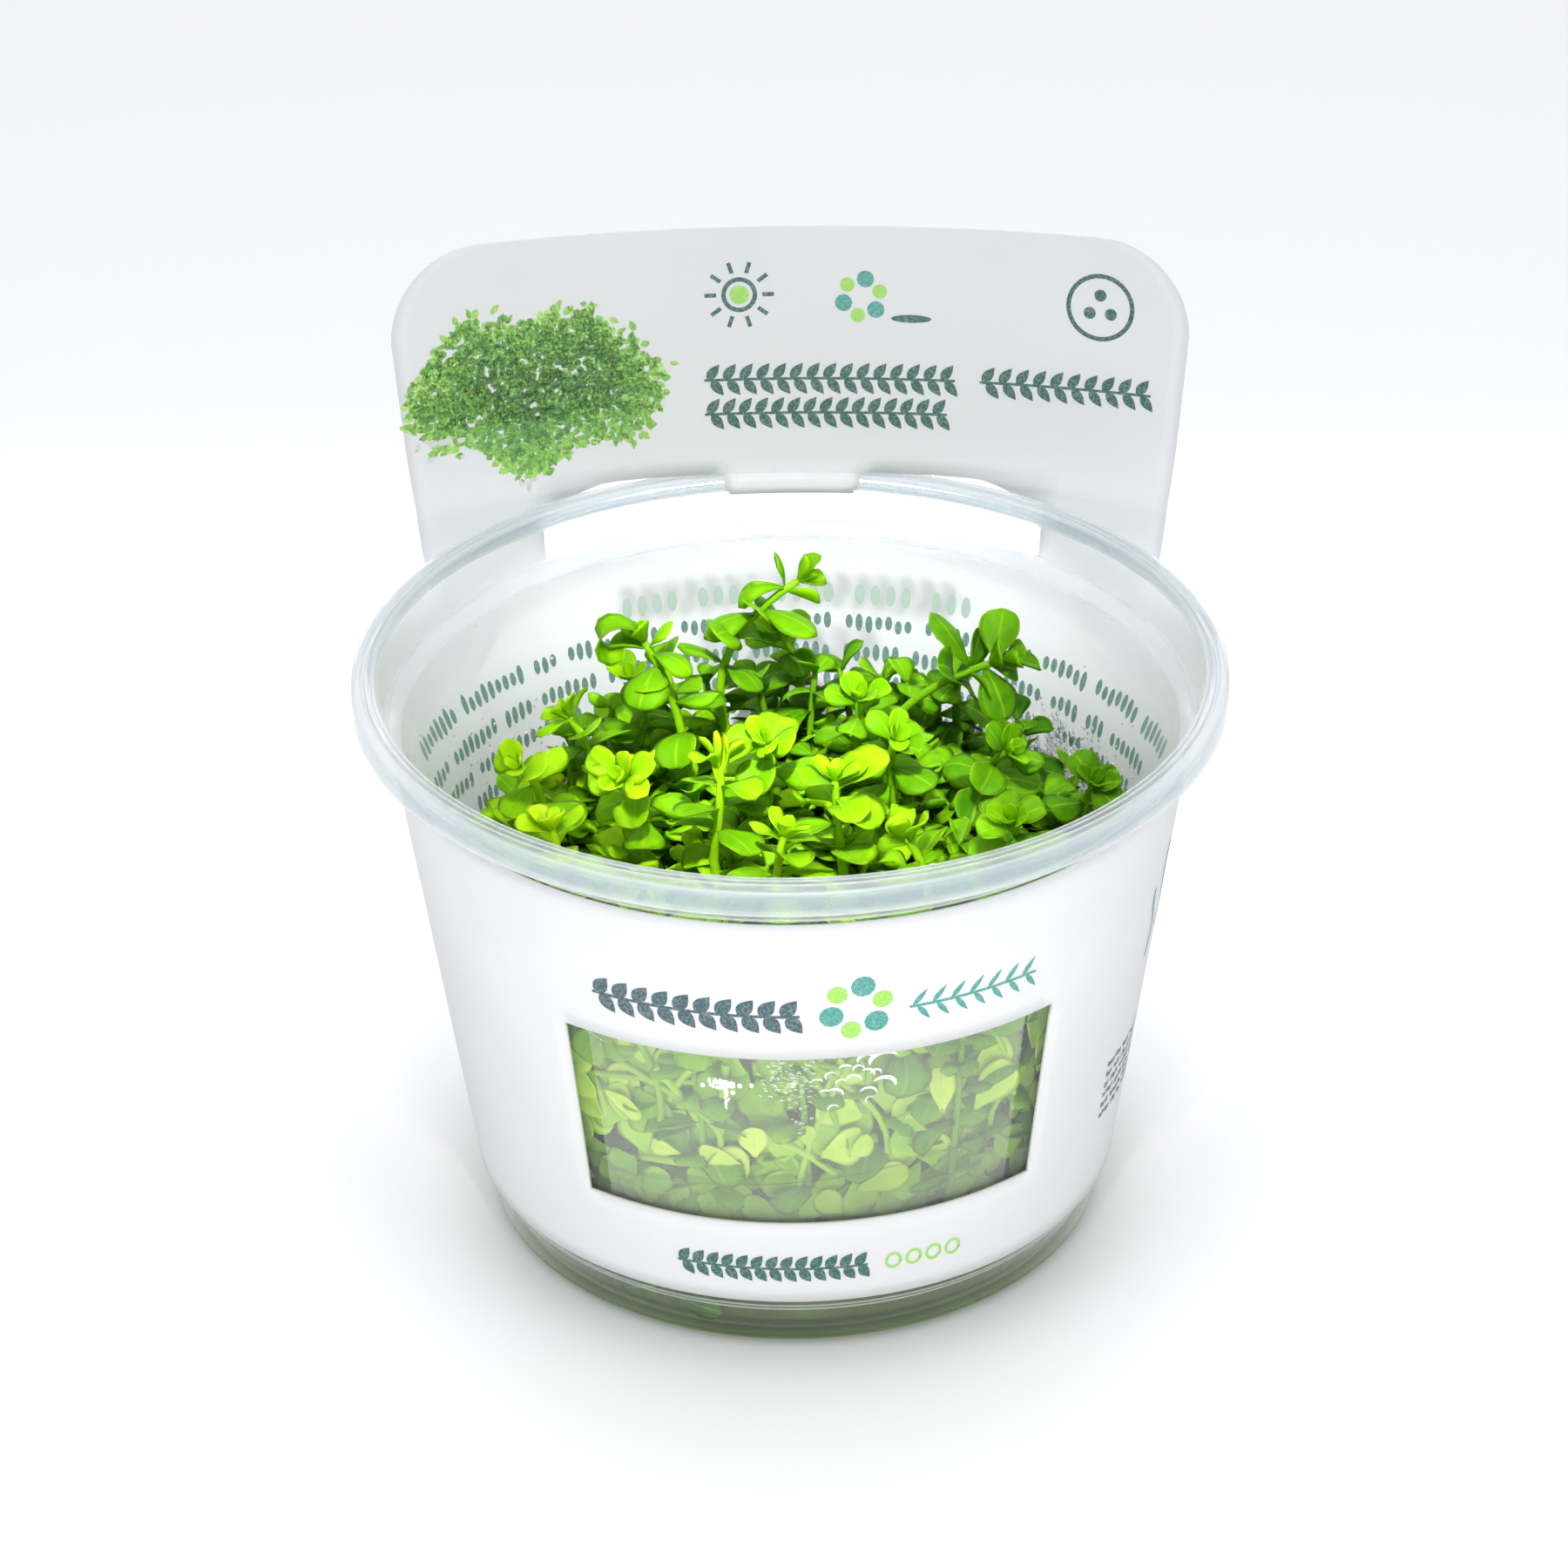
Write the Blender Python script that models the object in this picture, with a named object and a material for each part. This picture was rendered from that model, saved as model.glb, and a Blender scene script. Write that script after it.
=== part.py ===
"""An in-vitro cup of carpet plants in its card sleeve, as solids at real size.

Metres, +Z up. The origin is the middle of the cup's flat base, and the card's
header stands at the back, towards +Y.
"""
import math

import bmesh
import bpy
from mathutils import Matrix, Vector, noise
from mathutils.bvhtree import BVHTree

MM = 0.001
GAP = 0.3                     # left between pieces that touch, in mm as all below
SEGMENTS = 40                 # round a turned piece
TINY = 0.001                  # less than this apart counts as the same place

# Cup
CUP_HEIGHT = 70.3
RIM_RADIUS = 50.5
RIM_INNER_RADIUS = 47.7
RIM_ROUND = 0.9               # of the rim's upper edges
SKIRT_DEPTH = 3.7             # of the rim that curls down outside
SKIRT_WALL = 0.7
LEDGE_HEIGHT = 63.3           # where the lid would sit
WALL = 0.7
FLOOR = 0.9
TAPER = 0.145                 # radius gained by the wall for each mm of height
WALL_RADIUS = 36.41           # of the wall's cone, carried down to the base
BASE_CORNER = 1.6
COLLAR_HEIGHT = 5.5           # of the narrower foot
COLLAR_STEP = 0.35

# Card sleeve and its header
CARD = 0.5
SLEEVE_BOTTOM = 7.5
SLEEVE_TOP = 62.9
WINDOW_BOTTOM = 19.3
WINDOW_TOP = 44.0
WINDOW_LEFT = -36.3           # degrees from the front, towards +X
WINDOW_RIGHT = 42.0
CARD_RADIUS = WALL_RADIUS + SLEEVE_TOP * TAPER + GAP + CARD / 2    # at the sleeve's top
BAND_HEIGHTS = (SLEEVE_BOTTOM, WINDOW_BOTTOM, WINDOW_TOP, 50.0, 56.5, SLEEVE_TOP)
HEADER_MIDDLE = 0.5           # how far it stands to the right of the back's middle
HEADER_HALF_WIDTH = 46.6      # at the rim
HEADER_WIDEST = 48.5
HEADER_SHOULDER = 90.5        # height where its sides start to round over
HEADER_CORNER = 11.0
HEADER_BOW = 160.0            # radius of its nearly flat curve
BOW_START = 46.0              # heights between which the card opens from cone to bow
BOW_END = 79.0
BOW_FADE = 30.0               # along the card, from the header's edge back to the cone
SLOT_HALF_WIDTH = 31.0        # the back of the rim pokes out through this slot
SLOT_TOP = 70.7
HEADER_HEIGHTS = (66.8, SLOT_TOP, 76.0, 82.5, HEADER_SHOULDER)
CORNER_TURNS = (25, 48, 68, 90)
TAB_HALF_WIDTH = 8.3
TAB_FOLDS = ((0.8, 0.9, 1.0), (2.1, 1.5, 0.88))    # below the slot's top, inwards, and how wide

# Nutrient gel and the low mass of leaves on it
GEL_HEIGHT = 24.5
GEL_TILT = 0.1                # rise of its surface for each mm towards +X
CARPET_PEAK = 51.5
CARPET_PEAK_XY = (2.0, -10.0)
CARPET_FALL = 0.0042          # how fast it falls away, per mm squared
CARPET_LUMP = 4.4             # height of its leaf tufts
CARPET_LUMP_WIDTH = 6.5
CARPET_RINGS = 7
CARPET_SHOULDER = 42.0        # height where its top meets the wall
CARPET_DENT = 0.9             # depth of the hollows in its side

# Sprigs: stems with pairs of leaves
STEM_RADIUS = 0.62
STEM_SIDES = 5
STEM_RINGS = 4
STEM_NARROWING = 0.35
LEAF_LENGTH = 6.6
LEAF_WIDTH = 5.8
LEAF_THICKNESS = 0.5
LEAF_CUP = 0.9                # how far a blade's edges rise over its middle
LEAF_DROOP = 1.6              # how far its tip falls
CLEARANCE = 0.45              # kept round a leaf to other sprigs

# name: foot x and y, tip x, y and z, where the stem leans on its way (x, y),
# pairs of leaves, and the first pair's turn in degrees
SPRIGS = {
    "sprig_tall": ((-7, 18), (1, 22, 69), (-5, 1), 4, 10),
    "sprig_behind_tall": ((1, 29), (-1, 27, 59), (1, 0), 3, 60),
    "sprig_curled": ((-12, 9), (-17, 11, 67), (-1, 1), 3, 35),
    "sprig_arching": ((11, 14), (25, 13, 63), (0, 0), 4, 80),
    "sprig_left_wall": ((-28, -6), (-31, -9, 62), (0, 2), 3, 5),
    "sprig_rosette": ((-17, -9), (-19, -12, 62), (1, 1), 3, 38),
    "sprig_middle": ((-3, -6), (-3, -8, 64), (1, 1), 3, 20),
    "sprig_bright": ((6, -16), (5, -15, 63), (-1, 1), 3, 70),
    "sprig_slender": ((-9, -14), (-8, -12, 64), (1, -1), 3, 90),
    "sprig_twin": ((12, -2), (12, -4, 62), (-1, 0), 3, 0),
    "sprig_right": ((22, 2), (25, 0, 58), (0, 1), 3, 30),
    "sprig_front": ((-2, -26), (-1, -24, 61), (0, 1), 3, 55),
    "sprig_front_right": ((15, -25), (13, -23, 60), (1, 0), 3, 15),
    "sprig_left_back": ((-24, 8), (-26, 9, 58), (1, 0), 3, 75),
    "sprig_middle_back": ((7, 8), (8, 7, 61), (1, 0), 3, 40),
    "sprig_far_right": ((33, -1), (35, -3, 55), (1, 0), 2, 80),
    "sprig_low_left": ((-27, -21), (-27, -20, 60), (1, 1), 3, 50),
    "sprig_front_left": ((-15, -33), (-16, -31, 59), (0, 0), 3, 25),
    "sprig_right_front": ((26, -17), (25, -18, 59), (0, 1), 3, 65),
    "sprig_back_right": ((20, 24), (20, 23, 54), (0, 0), 2, 10),
    "sprig_back_left": ((-18, 26), (-19, 25, 54), (0, 0), 2, 70),
    "sprig_front_wall": ((4, -37), (5, -35, 58), (0, 0), 2, 35),
}


def clear_scene():
    for found in list(bpy.data.objects):
        bpy.data.objects.remove(found, do_unlink=True)


def material(name, colour, roughness, transmission=0.0):
    made = bpy.data.materials.new(name)
    made.use_nodes = True
    shader = made.node_tree.nodes["Principled BSDF"]
    shader.inputs["Base Color"].default_value = (*colour, 1.0)
    shader.inputs["Roughness"].default_value = roughness
    shader.inputs["Metallic"].default_value = 0.0
    shader.inputs["Transmission Weight"].default_value = transmission
    return made


def add_object(name, shape, finish, smooth_angle=None):
    """Makes the object from a bmesh in millimetres, and frees the bmesh."""
    bmesh.ops.scale(shape, vec=(MM, MM, MM), verts=shape.verts)
    bmesh.ops.recalc_face_normals(shape, faces=shape.faces)
    mesh = bpy.data.meshes.new(name)
    shape.to_mesh(mesh)
    shape.free()
    mesh.materials.append(finish)
    if smooth_angle is not None:
        mesh.shade_smooth()
        mesh.set_sharp_from_angle(angle=math.radians(smooth_angle))
    made = bpy.data.objects.new(name, mesh)
    bpy.context.collection.objects.link(made)
    return made


def wall_radius(height):
    """Outside radius of the cup's straight wall."""
    return WALL_RADIUS + height * TAPER


def turned(profile):
    """Turns a profile of (radius, height) that starts and ends on the axis."""
    shape = bmesh.new()
    rings = []
    for radius, height in profile[1:-1]:
        ring = []
        for index in range(SEGMENTS):
            angle = math.tau * index / SEGMENTS
            ring.append(shape.verts.new((radius * math.sin(angle), radius * math.cos(angle), height)))
        rings.append(ring)
    first = shape.verts.new((0, 0, profile[0][1]))
    last = shape.verts.new((0, 0, profile[-1][1]))
    for index in range(SEGMENTS):
        after = (index + 1) % SEGMENTS
        shape.faces.new((first, rings[0][index], rings[0][after]))
        shape.faces.new((last, rings[-1][after], rings[-1][index]))
        for low, high in zip(rings, rings[1:]):
            shape.faces.new((low[index], high[index], high[after], low[after]))
    return shape


def cup_profile():
    """Outside from the base up, over the rolled rim, and down the inside."""
    corner_middle = wall_radius(BASE_CORNER) - COLLAR_STEP - BASE_CORNER
    profile = [(0, 0), (corner_middle, 0)]
    for degrees in (35, 70):
        angle = math.radians(degrees)
        rise = BASE_CORNER * (1 - math.cos(angle))
        profile.append((corner_middle + BASE_CORNER * math.sin(angle), rise))
    skirt_foot = CUP_HEIGHT - SKIRT_DEPTH
    rim_underside = CUP_HEIGHT - RIM_ROUND - SKIRT_WALL
    profile += [
        (wall_radius(COLLAR_HEIGHT) - COLLAR_STEP, COLLAR_HEIGHT),
        (wall_radius(COLLAR_HEIGHT + 0.6), COLLAR_HEIGHT + 0.6),
        (wall_radius(LEDGE_HEIGHT), LEDGE_HEIGHT - 0.1),
        (RIM_INNER_RADIUS - SKIRT_WALL, LEDGE_HEIGHT + 0.8),
        (RIM_INNER_RADIUS + 0.5, rim_underside),
        (RIM_RADIUS - RIM_ROUND, rim_underside + 0.6),
        (RIM_RADIUS - SKIRT_WALL, skirt_foot + 0.2),
        (RIM_RADIUS - 0.2, skirt_foot),
        (RIM_RADIUS, skirt_foot + 0.4),
        (RIM_RADIUS, CUP_HEIGHT - 1.0),
        (RIM_RADIUS - RIM_ROUND, CUP_HEIGHT),
        (RIM_INNER_RADIUS + 0.6, CUP_HEIGHT),
        (RIM_INNER_RADIUS, CUP_HEIGHT - 0.5),
        (RIM_INNER_RADIUS - 2 * SKIRT_WALL, LEDGE_HEIGHT + 0.9),
        (wall_radius(LEDGE_HEIGHT) - WALL, LEDGE_HEIGHT - 0.2),
        (wall_radius(3.0) - WALL - COLLAR_STEP, 3.0),
        (corner_middle - 0.5, FLOOR),
        (0, FLOOR),
    ]
    return profile


def smooth_step(value):
    held = min(1.0, max(0.0, value))
    return held * held * (3 - 2 * held)


def card_point(arc, height):
    """A point of the card's middle layer, arc mm round from the back's middle.

    The card is a cone round the cup. At the back it opens into the header's
    nearly flat bow, so that it clears the rim on both sides of the slot.
    """
    inner = wall_radius(height) + GAP + CARD / 2
    angle = arc / CARD_RADIUS
    cone = Vector((inner * math.sin(angle), inner * math.cos(angle), height))
    opening = smooth_step((height - BOW_START) / (BOW_END - BOW_START))
    bend = (1 - opening) / inner + opening / HEADER_BOW
    turn = bend * angle * min(inner, CARD_RADIUS)
    bow = Vector((math.sin(turn) / bend, inner - (1 - math.cos(turn)) / bend, height))
    past_header = abs(arc - HEADER_MIDDLE) - HEADER_HALF_WIDTH - 1
    return bow.lerp(cone, smooth_step(past_header / BOW_FADE))


def header_half_width(height):
    if height <= SLOT_TOP:
        return HEADER_HALF_WIDTH
    if height <= HEADER_SHOULDER:
        along = (height - SLOT_TOP) / (HEADER_SHOULDER - SLOT_TOP)
        return HEADER_HALF_WIDTH + (HEADER_WIDEST - HEADER_HALF_WIDTH) * along
    rise = height - HEADER_SHOULDER
    return HEADER_WIDEST - HEADER_CORNER + math.sqrt(max(0.0, HEADER_CORNER ** 2 - rise ** 2))


def card_columns():
    """Arc positions round the card, with the edges of every cut-out among them."""
    half_turn = math.pi * CARD_RADIUS
    arcs = [half_turn * (2 * index / SEGMENTS - 1) for index in range(SEGMENTS)]
    arcs += window_edges()
    for half_width in (TAB_HALF_WIDTH, SLOT_HALF_WIDTH, HEADER_HALF_WIDTH):
        arcs += [HEADER_MIDDLE - half_width, HEADER_MIDDLE + half_width]
    return sorted(arcs)


def window_edges():
    """The window's left and right edges as arc positions."""
    return (math.radians(-180 - WINDOW_LEFT) * CARD_RADIUS, math.radians(180 - WINDOW_RIGHT) * CARD_RADIUS)


def add_band(shape, arcs):
    """The card round the cup, with the window left open, and its top row of points."""
    window_left, window_right = window_edges()
    rows = [[shape.verts.new(card_point(arc, height)) for arc in arcs] for height in BAND_HEIGHTS]
    for low, high in zip(rows, rows[1:]):
        in_window_row = low is rows[1]
        for column, arc in enumerate(arcs):
            behind_window = window_left - TINY < arc < window_right - TINY
            if in_window_row and not behind_window:
                continue
            after = (column + 1) % len(arcs)
            shape.faces.new((low[column], low[after], high[after], high[column]))
    return rows[-1]


def add_header(shape, arcs, below):
    """The header above the band's row below. Returns the slot's upper edge at the tab."""
    corners = [HEADER_SHOULDER + HEADER_CORNER * math.sin(math.radians(turn)) for turn in CORNER_TURNS]
    offsets = [arc - HEADER_MIDDLE for arc in arcs]
    tab_top = []
    for height in (*HEADER_HEIGHTS, *corners):
        widen = header_half_width(height) / HEADER_HALF_WIDTH
        places = [card_point(HEADER_MIDDLE + offset * widen, height) for offset in offsets]
        above = [shape.verts.new(place) for place in places]
        for left in range(len(arcs) - 1):
            middle = (offsets[left] + offsets[left + 1]) / 2
            if height > SLOT_TOP or abs(middle) > SLOT_HALF_WIDTH:
                shape.faces.new((below[left], below[left + 1], above[left + 1], above[left]))
        if height == SLOT_TOP:
            tab_top = [vert for vert, offset in zip(above, offsets) if abs(offset) < TAB_HALF_WIDTH + TINY]
        below = above
    return tab_top


def add_tab(shape, tab_top):
    """The small tab that folds in over the rim and hooks down inside it."""
    above = tab_top
    for drop, inward, narrow in TAB_FOLDS:
        low = []
        for vert in tab_top:
            across = HEADER_MIDDLE + (vert.co.x - HEADER_MIDDLE) * narrow
            low.append(shape.verts.new((across, vert.co.y - inward, SLOT_TOP - drop)))
        for left in range(len(low) - 1):
            shape.faces.new((low[left], low[left + 1], above[left + 1], above[left]))
        above = low


def card_sleeve_shape():
    """One thin sheet: the sleeve, its window, the slot, the tab and the header."""
    shape = bmesh.new()
    arcs = card_columns()
    top_row = add_band(shape, arcs)
    in_header = [abs(arc - HEADER_MIDDLE) < HEADER_HALF_WIDTH + TINY for arc in arcs]
    header_arcs = [arc for arc, inside in zip(arcs, in_header) if inside]
    header_row = [vert for vert, inside in zip(top_row, in_header) if inside]
    add_tab(shape, add_header(shape, header_arcs, header_row))
    loose = [vert for vert in shape.verts if not vert.link_faces]
    bmesh.ops.delete(shape, geom=loose, context="VERTS")
    return shape


def gel_surface(x):
    """Height of the gel, which set on a slight slope."""
    return GEL_HEIGHT + GEL_TILT * x


def inner_radius(height):
    """Inside radius of the cup's wall, with the gap to what stands in the cup."""
    return wall_radius(height) - WALL - GAP


def gel_shape():
    foot = inner_radius(3.0) - COLLAR_STEP
    shape = turned([(0, FLOOR + GAP), (foot - 1.5, FLOOR + GAP), (foot, 3.2),
                    (inner_radius(GEL_HEIGHT), GEL_HEIGHT), (0, GEL_HEIGHT)])
    for vert in shape.verts:
        if abs(vert.co.z - GEL_HEIGHT) < TINY and vert.co.xy.length > 1:
            height = gel_surface(vert.co.x)
            outward = inner_radius(height) / vert.co.xy.length
            vert.co = (vert.co.x * outward, vert.co.y * outward, height)
    return shape


def lump(x, y, level):
    return noise.noise(Vector((x / CARPET_LUMP_WIDTH, y / CARPET_LUMP_WIDTH, level)))


def carpet_top(x, y):
    """Height of the low mass of leaves."""
    away = (x - CARPET_PEAK_XY[0]) ** 2 + (y - CARPET_PEAK_XY[1]) ** 2
    return CARPET_PEAK - CARPET_FALL * away + CARPET_LUMP * lump(x, y, 3.7)


def carpet_shape():
    """The mass of small leaves, from the gel up to their tips, lumpy all over."""
    shape = bmesh.new()
    middle = shape.verts.new((0, 0, carpet_top(0, 0)))
    turns = [(math.sin(math.tau * index / SEGMENTS), math.cos(math.tau * index / SEGMENTS))
             for index in range(SEGMENTS)]
    edge = inner_radius(CARPET_SHOULDER)
    rings = []
    for ring in range(1, CARPET_RINGS + 1):
        radius = (edge - 0.5) * ring / CARPET_RINGS
        places = [(radius * side, radius * back) for side, back in turns]
        rings.append([shape.verts.new((x, y, carpet_top(x, y))) for x, y in places])
    for fall in (0.25, 0.62, 1.0):
        lower = []
        for side, back in turns:
            top = carpet_top(edge * side, edge * back)
            low = gel_surface(inner_radius(GEL_HEIGHT) * side) + GAP
            height = top + (low - top) * fall
            hollow = CARPET_DENT * (1 + lump(12 * math.atan2(side, back), height, 8.1))
            radius = inner_radius(height) - (hollow if fall < 1 else 0.4)
            lower.append(shape.verts.new((radius * side, radius * back, height)))
        rings.append(lower)
    for index in range(SEGMENTS):
        after = (index + 1) % SEGMENTS
        shape.faces.new((middle, rings[0][after], rings[0][index]))
        for upper, lower in zip(rings, rings[1:]):
            shape.faces.new((upper[index], upper[after], lower[after], lower[index]))
    shape.faces.new(rings[-1])
    bmesh.ops.triangulate(shape, faces=shape.faces)
    return shape


def height_on(ground, x, y, spread=0.0):
    """Highest point of the ground's facets under (x, y) and within spread of it."""
    heights = []
    for side, back in ((0, 0), (-spread, -spread), (-spread, spread), (spread, -spread), (spread, spread)):
        hit = ground.ray_cast(Vector((x + side, y + back, 2 * CUP_HEIGHT)), Vector((0, 0, -1)))[0]
        heights.append(hit.z if hit else 0.0)
    return max(heights)


def stem_curve(foot, tip, lean, ground):
    """A function of 0 to 1 along the stem: it rises from the carpet and bends to its tip."""
    low = Vector((foot[0], foot[1], height_on(ground, *foot, STEM_RADIUS) + GAP))
    high = Vector(tip)
    knee = Vector((low.x + lean[0], low.y + lean[1], low.z + 0.62 * (high.z - low.z)))

    def point(along):
        return low.lerp(knee, along).lerp(knee.lerp(high, along), along)
    return point


def on_stem(point, along):
    """The point on the stem's straight stretches, where a leaf's foot sits inside it."""
    stretches = STEM_RINGS - 1
    stretch = min(stretches - 1, int(along * stretches))
    return point(stretch / stretches).lerp(point((stretch + 1) / stretches), along * stretches - stretch)


def stem_shape(point, fatter=0.0):
    shape = bmesh.new()
    rings = []
    for ring in range(STEM_RINGS):
        along = ring / (STEM_RINGS - 1)
        ahead = (point(min(1, along + 0.05)) - point(max(0, along - 0.05))).normalized()
        if ring == 0:
            ahead = Vector((0, 0, 1))
        across = ahead.orthogonal().normalized()
        radius = STEM_RADIUS * (1 - STEM_NARROWING * along) + fatter
        spokes = [Matrix.Rotation(math.tau * side / STEM_SIDES, 3, ahead) @ across
                  for side in range(STEM_SIDES)]
        rings.append([shape.verts.new(point(along) + radius * spoke) for spoke in spokes])
    for low, high in zip(rings, rings[1:]):
        for side in range(STEM_SIDES):
            after = (side + 1) % STEM_SIDES
            shape.faces.new((low[side], low[after], high[after], high[side]))
    shape.faces.new(rings[0])
    shape.faces.new(rings[-1])
    bmesh.ops.recalc_face_normals(shape, faces=shape.faces)
    return shape


def leaf_shape(base, out, up, size, fatter=0.0):
    """A cupped, egg-shaped blade that is thick in the middle and sharp at its edge."""
    across = up.cross(out).normalized()
    rise = out.cross(across)
    length = LEAF_LENGTH * size + fatter
    width = LEAF_WIDTH * size + fatter
    half = LEAF_THICKNESS / 2 + fatter / 2

    def place(along, aside, lift):
        drop = LEAF_DROOP * size * along * along
        return base + out * (along * length) + across * (aside * width) + rise * (lift - drop)

    shape = bmesh.new()
    outline = ((0, 0, 0), (0.42, 0.42, 1), (0.8, 0.43, 1), (1, 0, 0.5), (0.8, -0.43, 1), (0.42, -0.42, 1))
    edge = [shape.verts.new(place(along, aside, LEAF_CUP * size * cup)) for along, aside, cup in outline]
    above = shape.verts.new(place(0.6, 0, half))
    below = shape.verts.new(place(0.6, 0, -half))
    for index in range(len(edge)):
        after = (index + 1) % len(edge)
        shape.faces.new((above, edge[index], edge[after]))
        shape.faces.new((below, edge[after], edge[index]))
    bmesh.ops.recalc_face_normals(shape, faces=shape.faces)
    return shape


def leaf_places(point, pairs, first_turn):
    """Where each leaf of a stem sits: (base, outward direction, upward direction, size)."""
    places = []
    for pair in range(pairs + 1):
        along = 0.3 + 0.64 * pair / pairs
        young = along ** 3
        ahead = (point(min(1, along + 0.05)) - point(along - 0.05)).normalized()
        start = ahead.orthogonal().normalized()
        for side in (0, 180):
            vary = noise.noise(Vector((first_turn + side, pair * 2.3, 1.7)))
            turn = math.radians(first_turn + 90 * pair + side + 14 * vary)
            climb = math.radians(12 + 38 * young + 10 * vary)
            flat = Matrix.Rotation(turn, 3, ahead) @ start
            out = flat * math.cos(climb) + ahead * math.sin(climb)
            up = ahead * math.cos(climb) - flat * math.sin(climb)
            places.append((on_stem(point, along) + 0.12 * out, out, up, 1 - 0.35 * young + 0.12 * vary))
    return places


def tree(shape):
    bmesh.ops.triangulate(shape, faces=shape.faces)
    return BVHTree.FromBMesh(shape)


def is_free(blade, others, ground):
    """True where a fattened blade clears the carpet, the cup's wall and other sprigs."""
    for vert in blade.verts:
        x, y, z = vert.co
        if z < height_on(ground, x, y) or math.hypot(x, y) > inner_radius(min(z, LEDGE_HEIGHT)) - 0.4:
            return False
    blade_tree = tree(blade)
    return not any(blade_tree.overlap(other) for other in others)


def grow_sprigs(ground, finish):
    curves = {name: stem_curve(foot, tip, lean, ground) for name, (foot, tip, lean, _, _) in SPRIGS.items()}
    stems = {}
    for name, point in curves.items():
        guard = stem_shape(point, CLEARANCE)
        stems[name] = tree(guard)
        guard.free()
    leaves = {name: [] for name in SPRIGS}
    for name, (_, _, _, pairs, first_turn) in SPRIGS.items():
        blades = []
        for base, out, up, size in leaf_places(curves[name], pairs, first_turn):
            others = [ground] + [stems[other] for other in SPRIGS if other != name]
            others += [blade for other in SPRIGS if other != name for blade in leaves[other]]
            for smaller in (1.0, 0.82, 0.66):
                guard = leaf_shape(base, out, up, size * smaller, CLEARANCE)
                free = is_free(guard, others, ground)
                guard.free()
                if free:
                    blade = leaf_shape(base, out, up, size * smaller)
                    leaves[name].append(tree(blade))
                    blades.append(blade)
                    break
        join_sprig(name, stem_shape(curves[name]), blades, finish)


def join_sprig(name, stem, blades, finish):
    """Fuses a stem and its blades into one body."""
    sprig = add_object(name, stem, finish)
    merged = bmesh.new()
    for blade in blades:
        part_mesh = bpy.data.meshes.new("blade")
        blade.to_mesh(part_mesh)
        blade.free()
        merged.from_mesh(part_mesh)
        bpy.data.meshes.remove(part_mesh)
    leaves = add_object(name + "_leaves", merged, finish)
    join = sprig.modifiers.new("join leaves", "BOOLEAN")
    join.operation = "UNION"
    join.solver = "EXACT"
    join.use_self = True
    join.object = leaves
    bpy.context.view_layer.update()
    fused = bpy.data.meshes.new_from_object(sprig.evaluated_get(bpy.context.evaluated_depsgraph_get()))
    sprig.modifiers.clear()
    sprig.data = fused
    fused.name = name
    bpy.data.objects.remove(leaves, do_unlink=True)


def build():
    clear_scene()
    clear_plastic = material("clear plastic", (0.93, 0.96, 0.95), 0.08, 1.0)
    white_card = material("white card", (0.93, 0.93, 0.94), 0.45)
    gel = material("nutrient gel", (0.42, 0.48, 0.30), 0.15, 0.8)
    leaf_green = material("leaf green", (0.25, 0.52, 0.03), 0.4)

    add_object("cup", turned(cup_profile()), clear_plastic, smooth_angle=35)
    sleeve = add_object("card_sleeve", card_sleeve_shape(), white_card)
    thicken = sleeve.modifiers.new("card thickness", "SOLIDIFY")
    thicken.thickness = CARD * MM
    thicken.offset = 0.0
    thicken.use_even_offset = True
    add_object("nutrient_gel", gel_shape(), gel, smooth_angle=35)
    carpet = carpet_shape()
    ground = tree(carpet)
    add_object("leaf_carpet", carpet, leaf_green)
    grow_sprigs(ground, leaf_green)


build()
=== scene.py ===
"""The looks of a carpet plant in its in-vitro cup: clear tub, card sleeve, gel and leaves."""
import math
import random

import bmesh
import bpy
import numpy as np
from mathutils import Matrix, Vector, noise


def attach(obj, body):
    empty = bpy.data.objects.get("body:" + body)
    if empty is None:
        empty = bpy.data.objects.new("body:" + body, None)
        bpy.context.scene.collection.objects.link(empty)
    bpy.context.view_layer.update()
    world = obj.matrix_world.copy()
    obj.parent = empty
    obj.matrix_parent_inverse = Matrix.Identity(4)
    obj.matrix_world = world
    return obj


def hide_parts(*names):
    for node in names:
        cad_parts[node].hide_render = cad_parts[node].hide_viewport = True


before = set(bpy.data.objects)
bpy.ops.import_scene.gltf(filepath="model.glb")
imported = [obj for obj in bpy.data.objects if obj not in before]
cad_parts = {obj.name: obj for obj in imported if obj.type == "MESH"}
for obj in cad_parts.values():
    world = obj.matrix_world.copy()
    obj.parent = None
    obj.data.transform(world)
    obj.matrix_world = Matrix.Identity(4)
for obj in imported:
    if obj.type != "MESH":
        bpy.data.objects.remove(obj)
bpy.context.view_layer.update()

MM = 0.001

# Camera, in mm and radians, as fitted to the photograph's ellipses and landmarks
IMAGE_SIZE = 1800
SENSOR = 36.0
FOCAL_PIXELS = 6480
CAMERA_DISTANCE = 657.8
CAMERA_ELEVATION = 0.52698
CAMERA_TURN = 0.00137
CAMERA_ROLL = -0.01268
AIM_HEIGHT = 53.98
CAMERA_ASIDE = -0.86

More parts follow.
